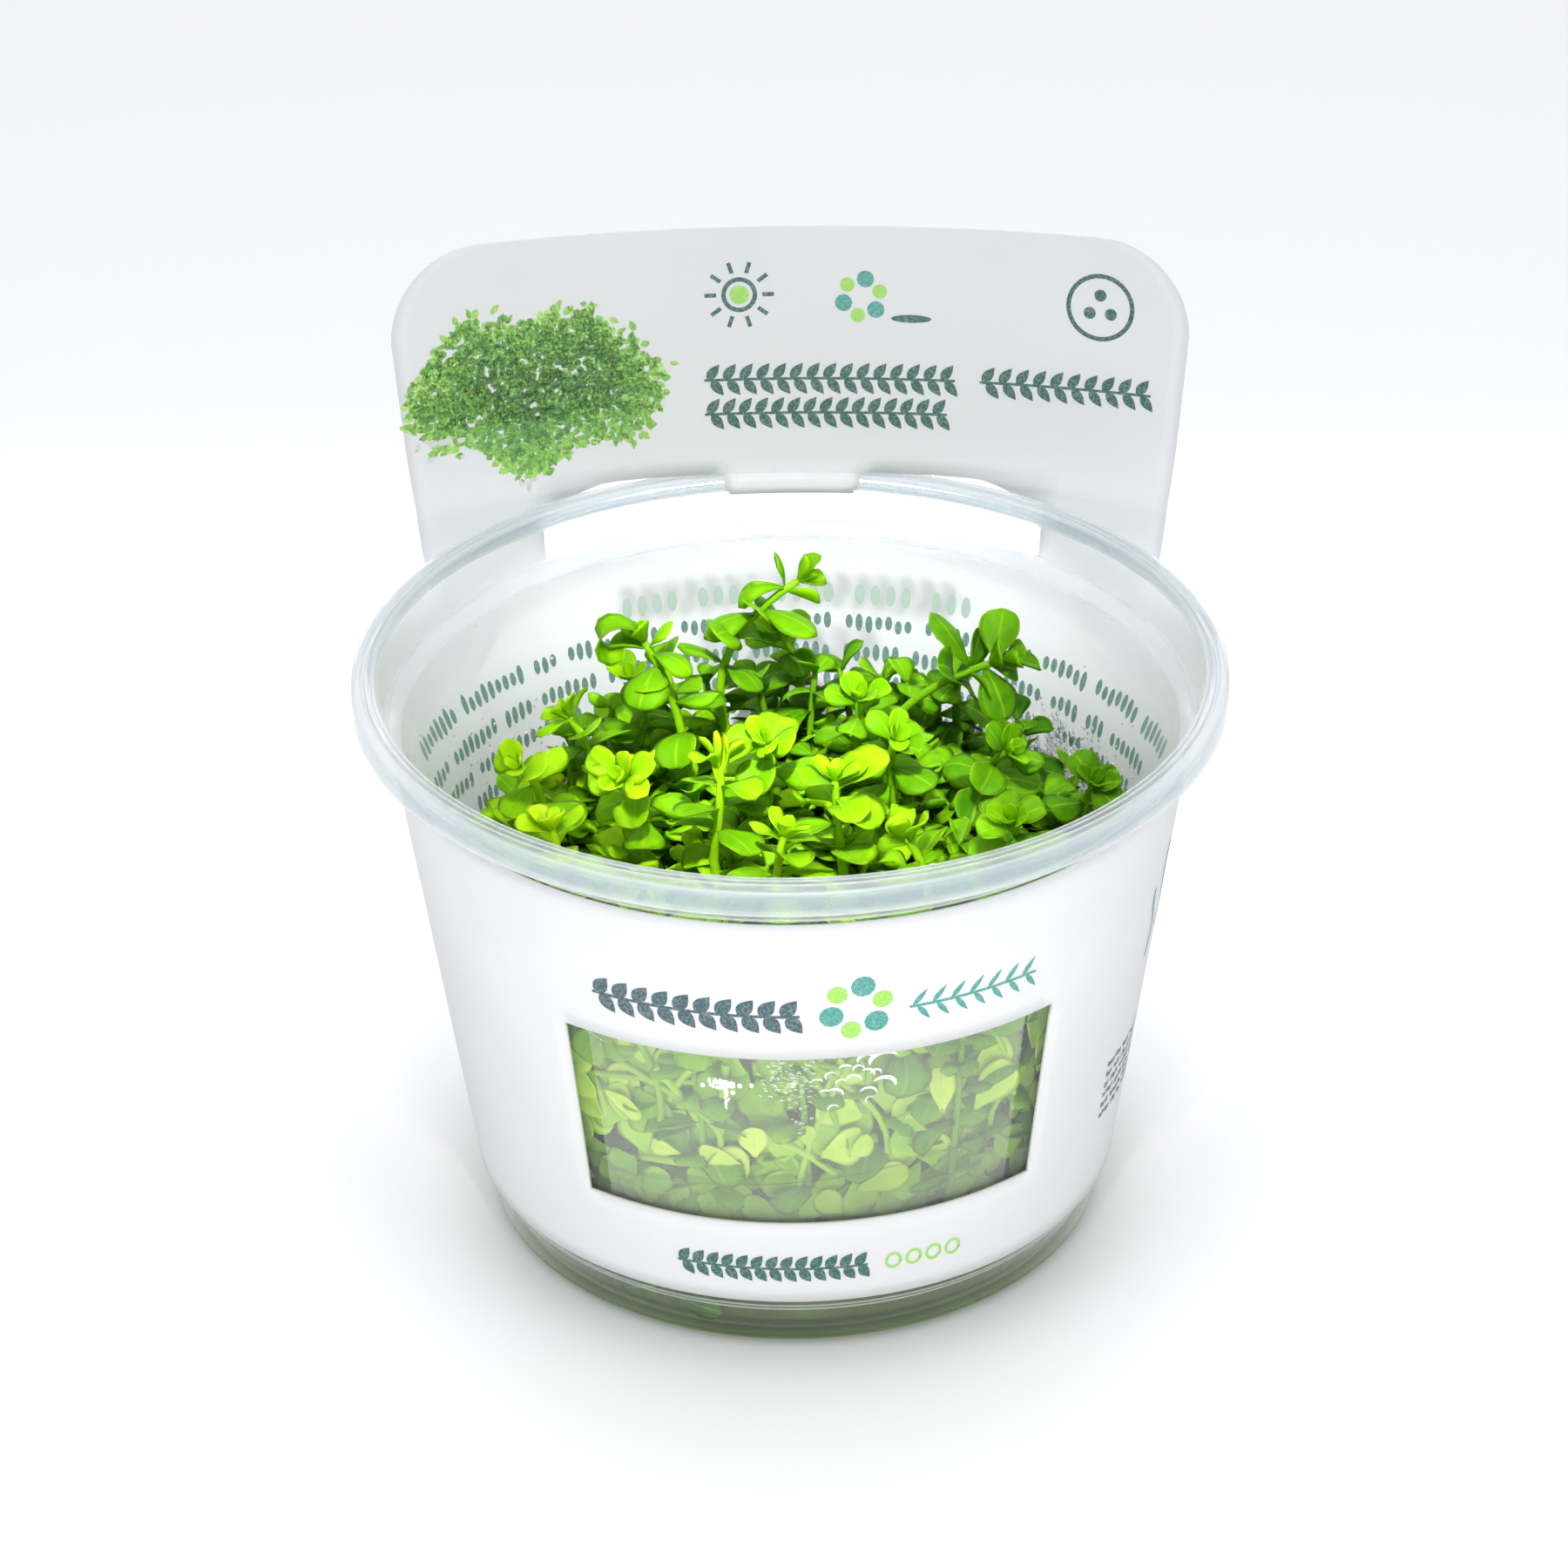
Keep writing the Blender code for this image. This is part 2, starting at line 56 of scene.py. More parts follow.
# The solids' sizes, in mm, with the names and values that part.py gives them
GAP = 0.3
CUP_HEIGHT = 70.3
RIM_RADIUS = 50.5
RIM_INNER_RADIUS = 47.7
SKIRT_DEPTH = 3.7
LEDGE_HEIGHT = 63.3
WALL = 0.7
FLOOR = 0.9
TAPER = 0.145
WALL_RADIUS = 36.41
BASE_CORNER = 1.6
COLLAR_HEIGHT = 5.5
COLLAR_STEP = 0.35
CARD = 0.5
SLEEVE_BOTTOM = 7.5
SLEEVE_TOP = 62.9
WINDOW_BOTTOM = 19.3
WINDOW_TOP = 44.0
WINDOW_LEFT = -36.3
WINDOW_RIGHT = 42.0
CARD_RADIUS = WALL_RADIUS + SLEEVE_TOP * TAPER + GAP + CARD / 2
HEADER_MIDDLE = 0.5
HEADER_HALF_WIDTH = 46.6
HEADER_WIDEST = 48.5
HEADER_SHOULDER = 90.5
HEADER_CORNER = 11.0
HEADER_BOW = 160.0
BOW_START = 46.0
BOW_END = 79.0
BOW_FADE = 30.0
SLOT_HALF_WIDTH = 31.0
SLOT_TOP = 70.7
TAB_HALF_WIDTH = 8.3
GEL_HEIGHT = 24.5
GEL_TILT = 0.1
STEM_RADIUS = 0.62
LEAF_LENGTH = 6.6
LEAF_WIDTH = 5.8
# Sprigs: foot, tip, where the stem leans on its way, pairs of leaves, and the first pair's turn in degrees
SPRIGS = {
    "sprig_tall": ((-7, 18), (1, 22, 69), (-5, 1), 4, 10),
    "sprig_behind_tall": ((1, 29), (-1, 27, 59), (1, 0), 3, 60),
    "sprig_curled": ((-12, 9), (-17, 11, 67), (-1, 1), 3, 35),
    "sprig_arching": ((11, 14), (25, 13, 63), (0, 0), 4, 80),
    "sprig_left_wall": ((-28, -6), (-31, -9, 62), (0, 2), 3, 5),
    "sprig_rosette": ((-17, -9), (-19, -12, 62), (1, 1), 3, 38),
    "sprig_middle": ((-3, -6), (-3, -8, 64), (1, 1), 3, 20),
    "sprig_bright": ((6, -16), (5, -15, 63), (-1, 1), 3, 70),
    "sprig_slender": ((-9, -14), (-8, -12, 64), (1, -1), 3, 90),
    "sprig_twin": ((12, -2), (12, -4, 62), (-1, 0), 3, 0),
    "sprig_right": ((22, 2), (25, 0, 58), (0, 1), 3, 30),
    "sprig_front": ((-2, -26), (-1, -24, 61), (0, 1), 3, 55),
    "sprig_front_right": ((15, -25), (13, -23, 60), (1, 0), 3, 15),
    "sprig_left_back": ((-24, 8), (-26, 9, 58), (1, 0), 3, 75),
    "sprig_middle_back": ((7, 8), (8, 7, 61), (1, 0), 3, 40),
    "sprig_far_right": ((33, -1), (35, -3, 55), (1, 0), 2, 80),
    "sprig_low_left": ((-27, -21), (-27, -20, 60), (1, 1), 3, 50),
    "sprig_front_left": ((-15, -33), (-16, -31, 59), (0, 0), 3, 25),
    "sprig_right_front": ((26, -17), (25, -18, 59), (0, 1), 3, 65),
    "sprig_back_right": ((20, 24), (20, 23, 54), (0, 0), 2, 10),
    "sprig_back_left": ((-18, 26), (-19, 25, 54), (0, 0), 2, 70),
    "sprig_front_wall": ((4, -37), (5, -35, 58), (0, 0), 2, 35),
}

# What only this script has, in mm and degrees
TURNS = 192                   # segments round the cup
SLOT_SAG = 2.2                # how far the slot's upper corners bend down
SAG_REACH = 9.0
TOUCH = 0.01                  # what counts as the same place on the card
TAB_FOLDS = ((0.2, 0.15, 1.0), (0.7, 0.7, 1.0), (1.2, 1.2, 0.99), (2.1, 1.45, 0.9))    # down, inwards, width
INK_LIFT = 0.03
HIGHLIGHT_LIFT = 0.04              # the drops' painted highlights, off the wall
HAZE_AND_REFLECTION_LIFT = 0.06
INSIDE_FOOT = 3.2             # where the inside's wall begins
SHARP_ANGLE = 40
SHOOT_FOOT = 17.0             # in the gel
SHOOT_REACH = 39.0            # furthest from the middle
TIP_LENGTH = 9
BACK_TIP_LENGTH = 12
FINE_BLADE = (10, 6)          # rows and columns of a leaf's mesh
PLAIN_BLADE = (7, 4)
GOLDEN_SHARE = 0.618          # of a round, for even spacing
CARPET_SHOOTS = 112
CANOPY_TIPS = 180
WALL_RUNNERS = 10
WALL_LEAVES = 84
GEL_LEAVES = 34
FOOT_LEAVES = 26
ROOTS = 34
SMALL_DROP_HIGHLIGHTS = 170
PICTURE_LEAVES = 2300
SEED = 7
# Taller tips at the back of the canopy, in mm
BACK_TIPS = (
    (-21, 17, 55), (-14, 22, 54), (-10, 26, 53), (-4, 24, 55), (3, 21, 57), (6, 27, 54), (11, 23, 55),
    (14, 20, 56), (17, 25, 53), (-17, 14, 56), (0, 31, 52), (-26, 14, 53), (27, 16, 53), (11, 31, 51),
)
# Leaves on the wall: degrees from the front, height, depth, length, width, turn, tint
WINDOW_LEAVES = (
    (25, 34.7, 1.0, 6.0, 3.6, 85, 0.95), (35, 36.0, 2.4, 6.5, 4.5, 25, 0.85),
    (35, 32.8, 1.2, 7.0, 6.0, 40, 0.8), (8, 28.7, 0.8, 5.6, 5.4, 10, 0.9),
    (11, 28.6, 0.5, 3.4, 3.0, 30, 0.8), (15, 23.3, 1.0, 6.6, 4.4, 25, 0.92),
    (24, 25.8, 1.4, 4.6, 4.6, 95, 0.8), (27, 26.2, 2.0, 5.0, 4.2, 80, 0.95),
    (30, 21.7, 1.8, 6.2, 4.6, 50, 0.72), (6, 20.4, 0.8, 3.9, 3.9, 140, 0.8),
    (9, 19.6, 1.6, 5.2, 4.6, 30, 0.55), (-7, 29.5, 1.2, 4.0, 3.6, 95, 1.0),
    (-2, 28.4, 2.2, 5.0, 4.8, 85, 0.72), (2, 30.3, 1.6, 3.0, 2.2, 90, 0.8),
    (-13, 26.6, 1.2, 5.6, 3.4, 165, 0.95), (-12, 25.9, 1.0, 5.6, 4.6, 20, 0.92),
    (-23, 26.8, 1.0, 4.4, 2.0, 180, 0.95), (-31, 31.7, 1.4, 5.0, 3.4, 110, 0.82),
    (-30, 32.1, 1.0, 5.6, 3.0, -25, 0.9), (-38, 29.7, 1.6, 5.0, 4.4, 150, 0.8),
    (-32, 34.2, 2.2, 4.4, 3.0, 80, 0.85), (-27, 25.2, 2.4, 5.0, 4.6, 60, 0.62),
    (-3, 23.2, 2.6, 7.0, 6.6, 95, 0.66), (-30, 38.6, 3.0, 6.6, 5.4, 20, 0.6),
    (-23, 34.2, 3.0, 6.0, 5.2, 10, 0.6), (-12, 37.2, 3.4, 6.0, 5.0, -10, 0.5),
    (21, 32.4, 2.6, 6.0, 4.4, 200, 0.75), (47, 25.5, 3.0, 6.0, 5.4, 120, 0.7),
    (10, 39.1, 2.0, 5.0, 4.0, 160, 0.9), (46, 34.7, 1.0, 5.5, 4.5, 60, 0.85),
    (-39, 36.0, 1.0, 5.0, 4.4, 60, 0.75), (-38, 33.3, 1.0, 5.0, 4.4, -70, 0.8),
    (48, 26.5, 1.2, 4.6, 4.0, 80, 0.8), (-37, 27.7, 1.4, 4.8, 3.6, -5, 0.75),
)
# The same for leaves sunk in the gel. Those with a depth below 0 are pressed flat against the wall
SUNK_LEAVES = (
    (-30, 21.0, 1.0, 3.6, 3.4, 70, 0.72), (-30, 19.1, 0.9, 4.4, 3.0, 200, 0.7),
    (-28, 19.7, 0.8, 4.0, 3.4, -40, 0.75), (-21, 20.2, 1.2, 3.6, 2.6, 110, 0.8),
    (-16, 19.5, 1.2, 3.6, 3.0, 90, 0.7), (-16, 20.1, 1.0, 3.2, 2.6, -80, 0.72),
    (-13, 17.5, 1.0, 4.2, 4.2, 40, 0.7), (-6, 17.8, 1.2, 4.6, 3.4, 10, 0.68),
    (-31, 4.5, -0.6, 5.4, 4.6, 25, 0.0), (-19, 4.1, -0.6, 6.4, 3.8, -12, 0.02),
    (44, 4.8, -0.6, 4.6, 3.4, 60, 0.0),
)
# More leaves on some sprigs: place along the stem, turn, climb, length, width, cup, droop, lighter by
SPECIAL_LEAVES = {
    "sprig_curled": ((0.99, 185, 75, 12.5, 5.6, 0.4, 5.4, 0.06), (0.8, 250, 5, 7.5, 6.6, -0.5, 1.2, 0.0),
                     (0.9, 330, 20, 6.5, 5.0, -0.6, 1.5, 0.05)),
    "sprig_tall": ((0.95, 190, 35, 8.0, 5.0, -0.7, 2.2, 0.08), (0.78, 200, 10, 7.5, 6.2, -0.6, 1.1, 0.02),
                   (0.8, -25, 8, 8.0, 6.4, -0.5, 0.9, 0.04), (1.0, 20, 55, 4.2, 4.2, 0.5, 0.5, 0.1)),
    "sprig_arching": ((0.86, 150, 62, 8.5, 4.2, -0.5, 0.5, 0.04), (0.97, 75, 55, 6.5, 5.2, 0.5, 0.2, 0.1),
                      (0.92, -60, -25, 7.5, 6.0, -0.4, 0.9, 0.04), (1.0, 5, 0, 5.0, 4.4, 0.6, 0.8, 0.0)),
    "sprig_slender": ((0.9, 200, 78, 5.5, 1.6, 0.8, -0.3, 0.24), (0.8, 20, 74, 6.0, 1.8, 0.8, -0.4, 0.26),
                      (0.7, 110, 70, 5.0, 1.5, 0.8, 0.4, 0.2)),
    "sprig_bright": ((0.9, 25, 35, 7.4, 5.8, 0.3, 0.4, 0.1), (0.8, -40, 5, 6.6, 5.8, 0.3, 0.9, 0.06)),
}
# Painted highlights of the drops on the wall behind the window, drawn as crescents without the drops: degrees
# from the front, height, radius
BIG_DROP_HIGHLIGHTS = (
    (8.9, 42.7, 0.8), (10.9, 42.3, 0.9), (13.7, 41.9, 1.5), (14.0, 38.3, 1.3), (11.5, 37.4, 0.9),
    (9.1, 39.5, 0.8), (6.2, 37.6, 0.9), (6.0, 35.5, 0.6), (12.3, 43.4, 0.7), (17.0, 43.2, 0.6),
    (7.8, 41.2, 0.7), (5.5, 40.3, 0.6), (3.4, 39.4, 0.6), (11.2, 40.2, 0.8), (6.7, 43.1, 0.6),
    (9.8, 41.1, 0.6), (4.6, 37.9, 0.5), (12.6, 40.2, 0.6), (7.2, 39.2, 0.6), (11.8, 36.3, 0.5),
)
# Stems on the wall, through these degrees and heights
WINDOW_STEMS = (
    ((6.9, 24.3), (-2.0, 28.7), (-7.6, 26.8)), ((-19.3, 24.9), (-24.3, 24.2), (-29.5, 23.4)),
    ((-21.7, 20.4), (-29.6, 19.3), (-35.9, 19.2)), ((24.9, 32.4), (20.3, 31.4), (15.2, 29.8)),
    ((-11.2, 40.6), (-12.4, 34.7), (-13.2, 27.9)), ((-23.6, 38.4), (-19.4, 34.3), (-16.5, 29.9)),
    ((-13.3, 40.8), (-17.9, 38.4), (-21.9, 33.4)), ((9.1, 25.6), (6.3, 24.3), (3.5, 22.0)),
)
# Lights, in m, W and degrees: place, aim, width, height, power, spread
LIGHTS = {
    "top softbox": ((0, 0, 0.8), (0, 0, 0.05), 0.7, 0.7, 3.2, 180),
    "low front softbox": ((0, -0.24, 0.06), (0, 0, 0.045), 0.4, 0.07, 0.125, 75),
    "low back softbox": ((0, 0.24, 0.06), (0, 0, 0.045), 0.4, 0.07, 0.085, 75),
    "back light": ((0, 0.15, 0.047), (0, 0.045, 0.056), 0.085, 0.01, 0.014, 18),
    "plant light": ((0, -0.27, 0.5), (0, 0.006, 0.052), 0.03, 0.03, 0.0235, 9.5),
}
SKY = (0.97, 0.98, 1.0, 1)
SKY_STRENGTH = 0.74
PAPER = (0.877, 0.877, 0.88, 1)
FLOOR_REACH = 8.0             # m
FLOOR_DROP = 0.0002           # m below the cup's base
PLASTIC_IOR = 1.49
GEL_IOR = 1.34
WATER_IOR = 1.33


def wall_radius(height):
    """Outside radius of the cup's straight wall."""
    return WALL_RADIUS + height * TAPER


def inner_radius(height):
    """Inside radius of the cup's wall, with the gap to what stands in the cup."""
    return wall_radius(height) - WALL - GAP


def round_front(radius, turn, height):
    """A point round the cup's axis, with its turn in radians to the right of the front's middle."""
    return Vector((radius * math.sin(turn), -radius * math.cos(turn), height))


def smooth_step(value):
    held = min(1.0, max(0.0, value))
    return held * held * (3 - 2 * held)


def finish_piece(piece, replaced=()):
    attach(piece, "root")
    if replaced:
        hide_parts(*replaced)


def add_object(name, data):
    thing = bpy.data.objects.new(name, data)
    bpy.context.collection.objects.link(thing)
    return thing


def new_mesh(name, points, faces, finish, tints=None):
    """A mesh in metres with one finish, and with a tint for each point where tints are given."""
    mesh = bpy.data.meshes.new(name)
    mesh.from_pydata(points, [], faces)
    if tints is not None:
        mesh.attributes.new("tint", "FLOAT", "POINT").data.foreach_set("value", tints)
    mesh.materials.append(finish)
    return mesh


def link_bmesh(name, shape, finishes):
    """Makes an object of a bmesh in millimetres, and frees the bmesh."""
    bmesh.ops.scale(shape, vec=(MM, MM, MM), verts=shape.verts)
    mesh = bpy.data.meshes.new(name)
    shape.to_mesh(mesh)
    shape.free()
    for finish in finishes:
        mesh.materials.append(finish)
    mesh.shade_smooth()
    mesh.set_sharp_from_angle(angle=math.radians(SHARP_ANGLE))
    return add_object(name, mesh)


# Camera, light and floor

def add_camera():
    turn = Matrix.Rotation(CAMERA_TURN, 3, "Z")
    back = turn @ Vector((0, -math.cos(CAMERA_ELEVATION), math.sin(CAMERA_ELEVATION)))
    right = (turn @ Vector((1, 0, 0))).normalized()
    up = back.cross(right)
    rolled_right = math.cos(CAMERA_ROLL) * right + math.sin(CAMERA_ROLL) * up
    rolled_up = -math.sin(CAMERA_ROLL) * right + math.cos(CAMERA_ROLL) * up
    data = bpy.data.cameras.new("camera")
    data.sensor_width = SENSOR
    data.sensor_fit = "HORIZONTAL"
    data.lens = FOCAL_PIXELS * SENSOR / IMAGE_SIZE
    data.clip_start = 0.01
    camera = add_object("camera", data)
    camera.matrix_world = Matrix((rolled_right, rolled_up, back)).transposed().to_4x4()
    aim = Vector((0, 0, AIM_HEIGHT))
    camera.location = (aim + back * CAMERA_DISTANCE + rolled_right * CAMERA_ASIDE) * MM
    bpy.context.scene.camera = camera


def add_light(name, place, aim, width, height, power, spread):
    data = bpy.data.lights.new(name, "AREA")
    data.shape = "RECTANGLE"
    data.size = width
    data.size_y = height
    data.energy = power
    data.spread = math.radians(spread)
    light = add_object(name, data)
    light.location = place
    light.rotation_euler = (Vector(aim) - Vector(place)).to_track_quat("-Z", "Y").to_euler()


def add_studio():
    world = bpy.data.worlds.new("studio")
    bpy.context.scene.world = world
    world.use_nodes = True
    background = world.node_tree.nodes["Background"]
    background.inputs["Color"].default_value = SKY
    background.inputs["Strength"].default_value = SKY_STRENGTH
    for name, settings in LIGHTS.items():
        add_light(name, *settings)
    bpy.context.scene.view_settings.view_transform = "Standard"
    bpy.context.scene.view_settings.look = "None"

    paper = Nodes("floor paper")
    paper.set(Base_Color=PAPER, Roughness=0.6, Specular_IOR_Level=0.2)
    corners = [(x * FLOOR_REACH, y * FLOOR_REACH, 0) for x, y in ((-1, -1), (1, -1), (1, 1), (-1, 1))]
    ground = add_object("floor", new_mesh("floor", corners, [(0, 1, 2, 3)], paper.material))
    ground.location.z = -FLOOR_DROP


# Materials

class Nodes:
    """A material with its Principled shader, and short ways to add nodes to it."""

    def __init__(self, name):
        self.material = bpy.data.materials.new(name)
        self.material.use_nodes = True
        self.tree = self.material.node_tree
        self.shader = self.tree.nodes["Principled BSDF"]
        self.output = self.tree.nodes["Material Output"]

    def feed(self, target, value):
        """Links a node's output to an input, or sets the input to a plain value."""
        if isinstance(value, bpy.types.NodeSocket):
            self.tree.links.new(value, target)
        else:
            target.default_value = value

    def add(self, kind, inputs=None, **settings):
        node = self.tree.nodes.new("ShaderNode" + kind)
        for key, value in settings.items():
            setattr(node, key, value)
        for key, value in (inputs or {}).items():
            self.feed(node.inputs[key], value)
        return node

    def set(self, **values):
        for key, value in values.items():
            self.feed(self.shader.inputs[key.replace("_", " ")], value)

    def place(self):
        return self.add("TexCoord").outputs["Object"]

    def height(self):
        return self.add("SeparateXYZ", {"Vector": self.place()}).outputs["Z"]

    def tint(self):
        return self.add("Attribute", attribute_name="tint").outputs["Fac"]

    def combine(self, operation, first, second=0.5):
        return self.add("Math", {0: first, 1: second}, operation=operation).outputs["Value"]

    def span(self, value, low, high, to_low, to_high):
        inputs = {"Value": value, "From Min": low, "From Max": high, "To Min": to_low, "To Max": to_high}
        return self.add("MapRange", inputs).outputs["Result"]

    def noise(self, scale, detail=1.0, roughness=0.5):
        inputs = {"Vector": self.place(), "Scale": scale, "Detail": detail, "Roughness": roughness}
        return self.add("TexNoise", inputs).outputs["Fac"]

    def spread(self, noise_value, low, high):
        """Spreads a noise, which lies mostly between 0.3 and 0.7, from low to high."""
        return self.span(noise_value, 0.3, 0.7, low, high)

    def grain(self, scale, low, high, detail=1.0):
        return self.spread(self.noise(scale, detail), low, high)

    def ramp(self, value, *stops):
        node = self.add("ValToRGB", {"Fac": value})
        ramp = node.color_ramp
        while len(ramp.elements) < len(stops):
            ramp.elements.new(0.5)
        for element, (where, colour) in zip(ramp.elements, stops):
            element.position = where
            element.color = (*colour, 1)
        return node.outputs["Color"]

    def clouds(self, noise_value, low, high):
        """A colour that wanders from low to high with a noise."""
        return self.ramp(noise_value, (0.3, low), (0.7, high))

    def gloss_share(self, head_on):
        """How much a thin clear wall reflects: little head on, most of it at a glance, on both its faces."""
        facing = self.add("LayerWeight", {"Blend": 0.5}).outputs["Facing"]
        return self.span(self.combine("POWER", facing, 5.0), 0, 1, head_on, 0.9)

    def bump(self, height, strength, distance):
        node = self.add("Bump", {"Height": height, "Strength": strength, "Distance": distance})
        self.set(Normal=node.outputs["Normal"])
        return node.outputs["Normal"]

    def blend(self, share, under, over):
        """Ends the material as the shader under, with a share of the shader over."""
        mix = self.add("MixShader", {0: share, 1: under.outputs["BSDF"], 2: over.outputs["BSDF"]})
        self.feed(self.output.inputs["Surface"], mix.outputs["Shader"])
        return self.material

    def see_through(self, share, tint=(1, 1, 1, 1)):
        """Ends the material as a clear film of this tint, with a share of its solid surface."""
        return self.blend(share, self.add("BsdfTransparent", {"Color": tint}), self.shader)

    def lit_through(self, share, inputs):
        """Ends the material as its solid surface, with a share of light that comes through it."""
        return self.blend(share, self.shader, self.add("BsdfTranslucent", inputs))


def clear_wall_material():
    """Thin clear plastic: what is behind it shows straight through, with a gloss on top."""
    nodes = Nodes("clear plastic wall")
    nodes.set(Base_Color=(0.95, 0.97, 0.97, 1), IOR=PLASTIC_IOR, Roughness=nodes.grain(900, 0.03, 0.09))
    nodes.bump(nodes.noise(60, 2), 0.04, 0.002)
    tint = nodes.clouds(nodes.noise(40), (0.983, 0.988, 0.986), (0.993, 0.995, 0.994))
    return nodes.see_through(nodes.gloss_share(0.035), tint)


def base_material():
    """The foot of the cup, which shows the gel's green through its thick corner."""
    nodes = Nodes("clear plastic base")
    nodes.set(Base_Color=(0.5, 0.58, 0.44, 1), IOR=PLASTIC_IOR, Roughness=nodes.grain(900, 0.05, 0.12))
    tint = nodes.clouds(nodes.noise(70), (0.58, 0.68, 0.46), (0.70, 0.79, 0.57))
    return nodes.see_through(nodes.gloss_share(0.06), tint)


def rim_material():
    """The rolled rim, of the same thin plastic but slightly milky, with a bluer band round its side as a
    painted reflection and a white top and foot as a painted highlight.
    """
    nodes = Nodes("clear plastic rim")
    # Colour painted by height: white at the top and at the skirt's foot is a painted highlight, and the bluer
    # band between them is a painted reflection.
    rise = nodes.span(nodes.height(), (CUP_HEIGHT - 3.9) * MM, CUP_HEIGHT * MM, 0.0, 0.9)
    uneven = nodes.combine("ADD", rise, nodes.grain(30, 0.0, 0.1))
    white, blue = (0.83, 0.855, 0.885), (0.50, 0.59, 0.66)
    milk_and_painted_bands = nodes.ramp(uneven, (0.0, white), (0.2, white), (0.34, blue), (0.6, (0.56, 0.645, 0.71)),
                      (0.84, (0.76, 0.80, 0.84)), (1.0, white))
    nodes.set(Base_Color=milk_and_painted_bands, Transmission_Weight=0.3, IOR=PLASTIC_IOR,
              Roughness=nodes.grain(700, 0.06, 0.16))
    tint = nodes.clouds(nodes.noise(40), (0.965, 0.975, 0.98), (0.985, 0.99, 0.993))
    return nodes.see_through(nodes.gloss_share(0.46), tint)


def card_material():
    """White card with fine fibres, greyer towards the header as painted shade, with some light through it."""
    nodes = Nodes("white card")
    fibre = nodes.noise(1500, 3, 0.65)
    # From 58 mm up the card is painted greyer: painted shade on the header, which is the same white sheet.
    header = nodes.span(nodes.height(), 0.058, 0.076, 0.0, 0.8)
    shade = nodes.combine("ADD", header, nodes.grain(60, 0.0, 0.2, 2))
    colour = nodes.ramp(shade, (0.0, (0.88, 0.883, 0.895)), (1.0, (0.77, 0.773, 0.79)))
    nodes.set(Base_Color=colour, Roughness=nodes.spread(fibre, 0.42, 0.55), Specular_IOR_Level=0.35)
    nodes.bump(fibre, 0.12, 0.0002)
    return nodes.lit_through(0.33, {"Color": colour})


def ink_material(name, colour):
    """Ink printed on the card, with the fine dots of offset printing."""
    nodes = Nodes("ink " + name)
    dots = nodes.add("TexVoronoi", {"Vector": nodes.place(), "Scale": 3200}).outputs["Distance"]
    paper = tuple(channel + (0.8 - channel) * 0.15 for channel in colour)
    shade = nodes.ramp(dots, (0.35, colour), (0.8, paper))
    nodes.set(Base_Color=shade, Roughness=nodes.grain(1500, 0.38, 0.52), Specular_IOR_Level=0.35)
    return nodes.material


def picture_material():
    """Printed leaves in several greens, one for each leaf's tint."""
    nodes = Nodes("ink picture")
    shaded = nodes.combine("ADD", nodes.tint(), nodes.grain(2200, -0.2, 0.2, 3))
    colour = nodes.ramp(shaded, (0.0, (0.045, 0.10, 0.035)), (0.35, (0.09, 0.25, 0.05)),
                        (0.7, (0.22, 0.48, 0.08)), (1.0, (0.40, 0.64, 0.16)))
    nodes.set(Base_Color=colour, Roughness=nodes.grain(1500, 0.4, 0.55))
    return nodes.material


def haze_and_reflection_material():
    """A thin pale film on the wall: partly a mist of condensation, partly a painted reflection of the light
    on the wall.
    """
    nodes = Nodes("condensation haze and painted reflection")
    nodes.set(Base_Color=(0.86, 0.95, 0.76, 1), Roughness=nodes.grain(900, 0.4, 0.6, 2))
    return nodes.see_through(nodes.grain(110, 0.12, 0.20, 3))


def gel_material():
    """Cloudy green gel, darker and less clear towards its foot."""
    nodes = Nodes("nutrient gel")
    cloud = nodes.noise(90, 4)
    colour = nodes.clouds(cloud, (0.15, 0.23, 0.05), (0.27, 0.37, 0.10))
    nodes.set(Base_Color=colour, Roughness=nodes.spread(cloud, 0.08, 0.2), IOR=GEL_IOR)
    rise = nodes.span(nodes.height(), 0.006, 0.018, 0, 1)
    tint = nodes.ramp(rise, (0.0, (0.24, 0.36, 0.13)), (1.0, (0.84, 0.91, 0.68)))
    return nodes.see_through(nodes.span(rise, 0, 1, 0.3, 0.08), tint)


LEAF_GREENS = ((0.0, (0.012, 0.06, 0.001)), (0.3, (0.05, 0.20, 0.001)), (0.62, (0.17, 0.45, 0.001)),
               (0.85, (0.34, 0.66, 0.002)), (1.0, (0.6, 0.82, 0.01)))
# A lighter copy of the leaf greens, for the leaves pressed to the wall and in the gel: painted light.
PAINTED_LIT_GREENS = ((0.0, (0.03, 0.11, 0.01)), (0.4, (0.16, 0.42, 0.015)), (0.7, (0.44, 0.76, 0.04)),
               (1.0, (0.78, 0.95, 0.14)))
# The paler green of the midrib, which is the leaf's own, and of the painted highlight along the margin and
# tip.
LINE_GREEN = (0.45, 0.74, 0.03, 1)


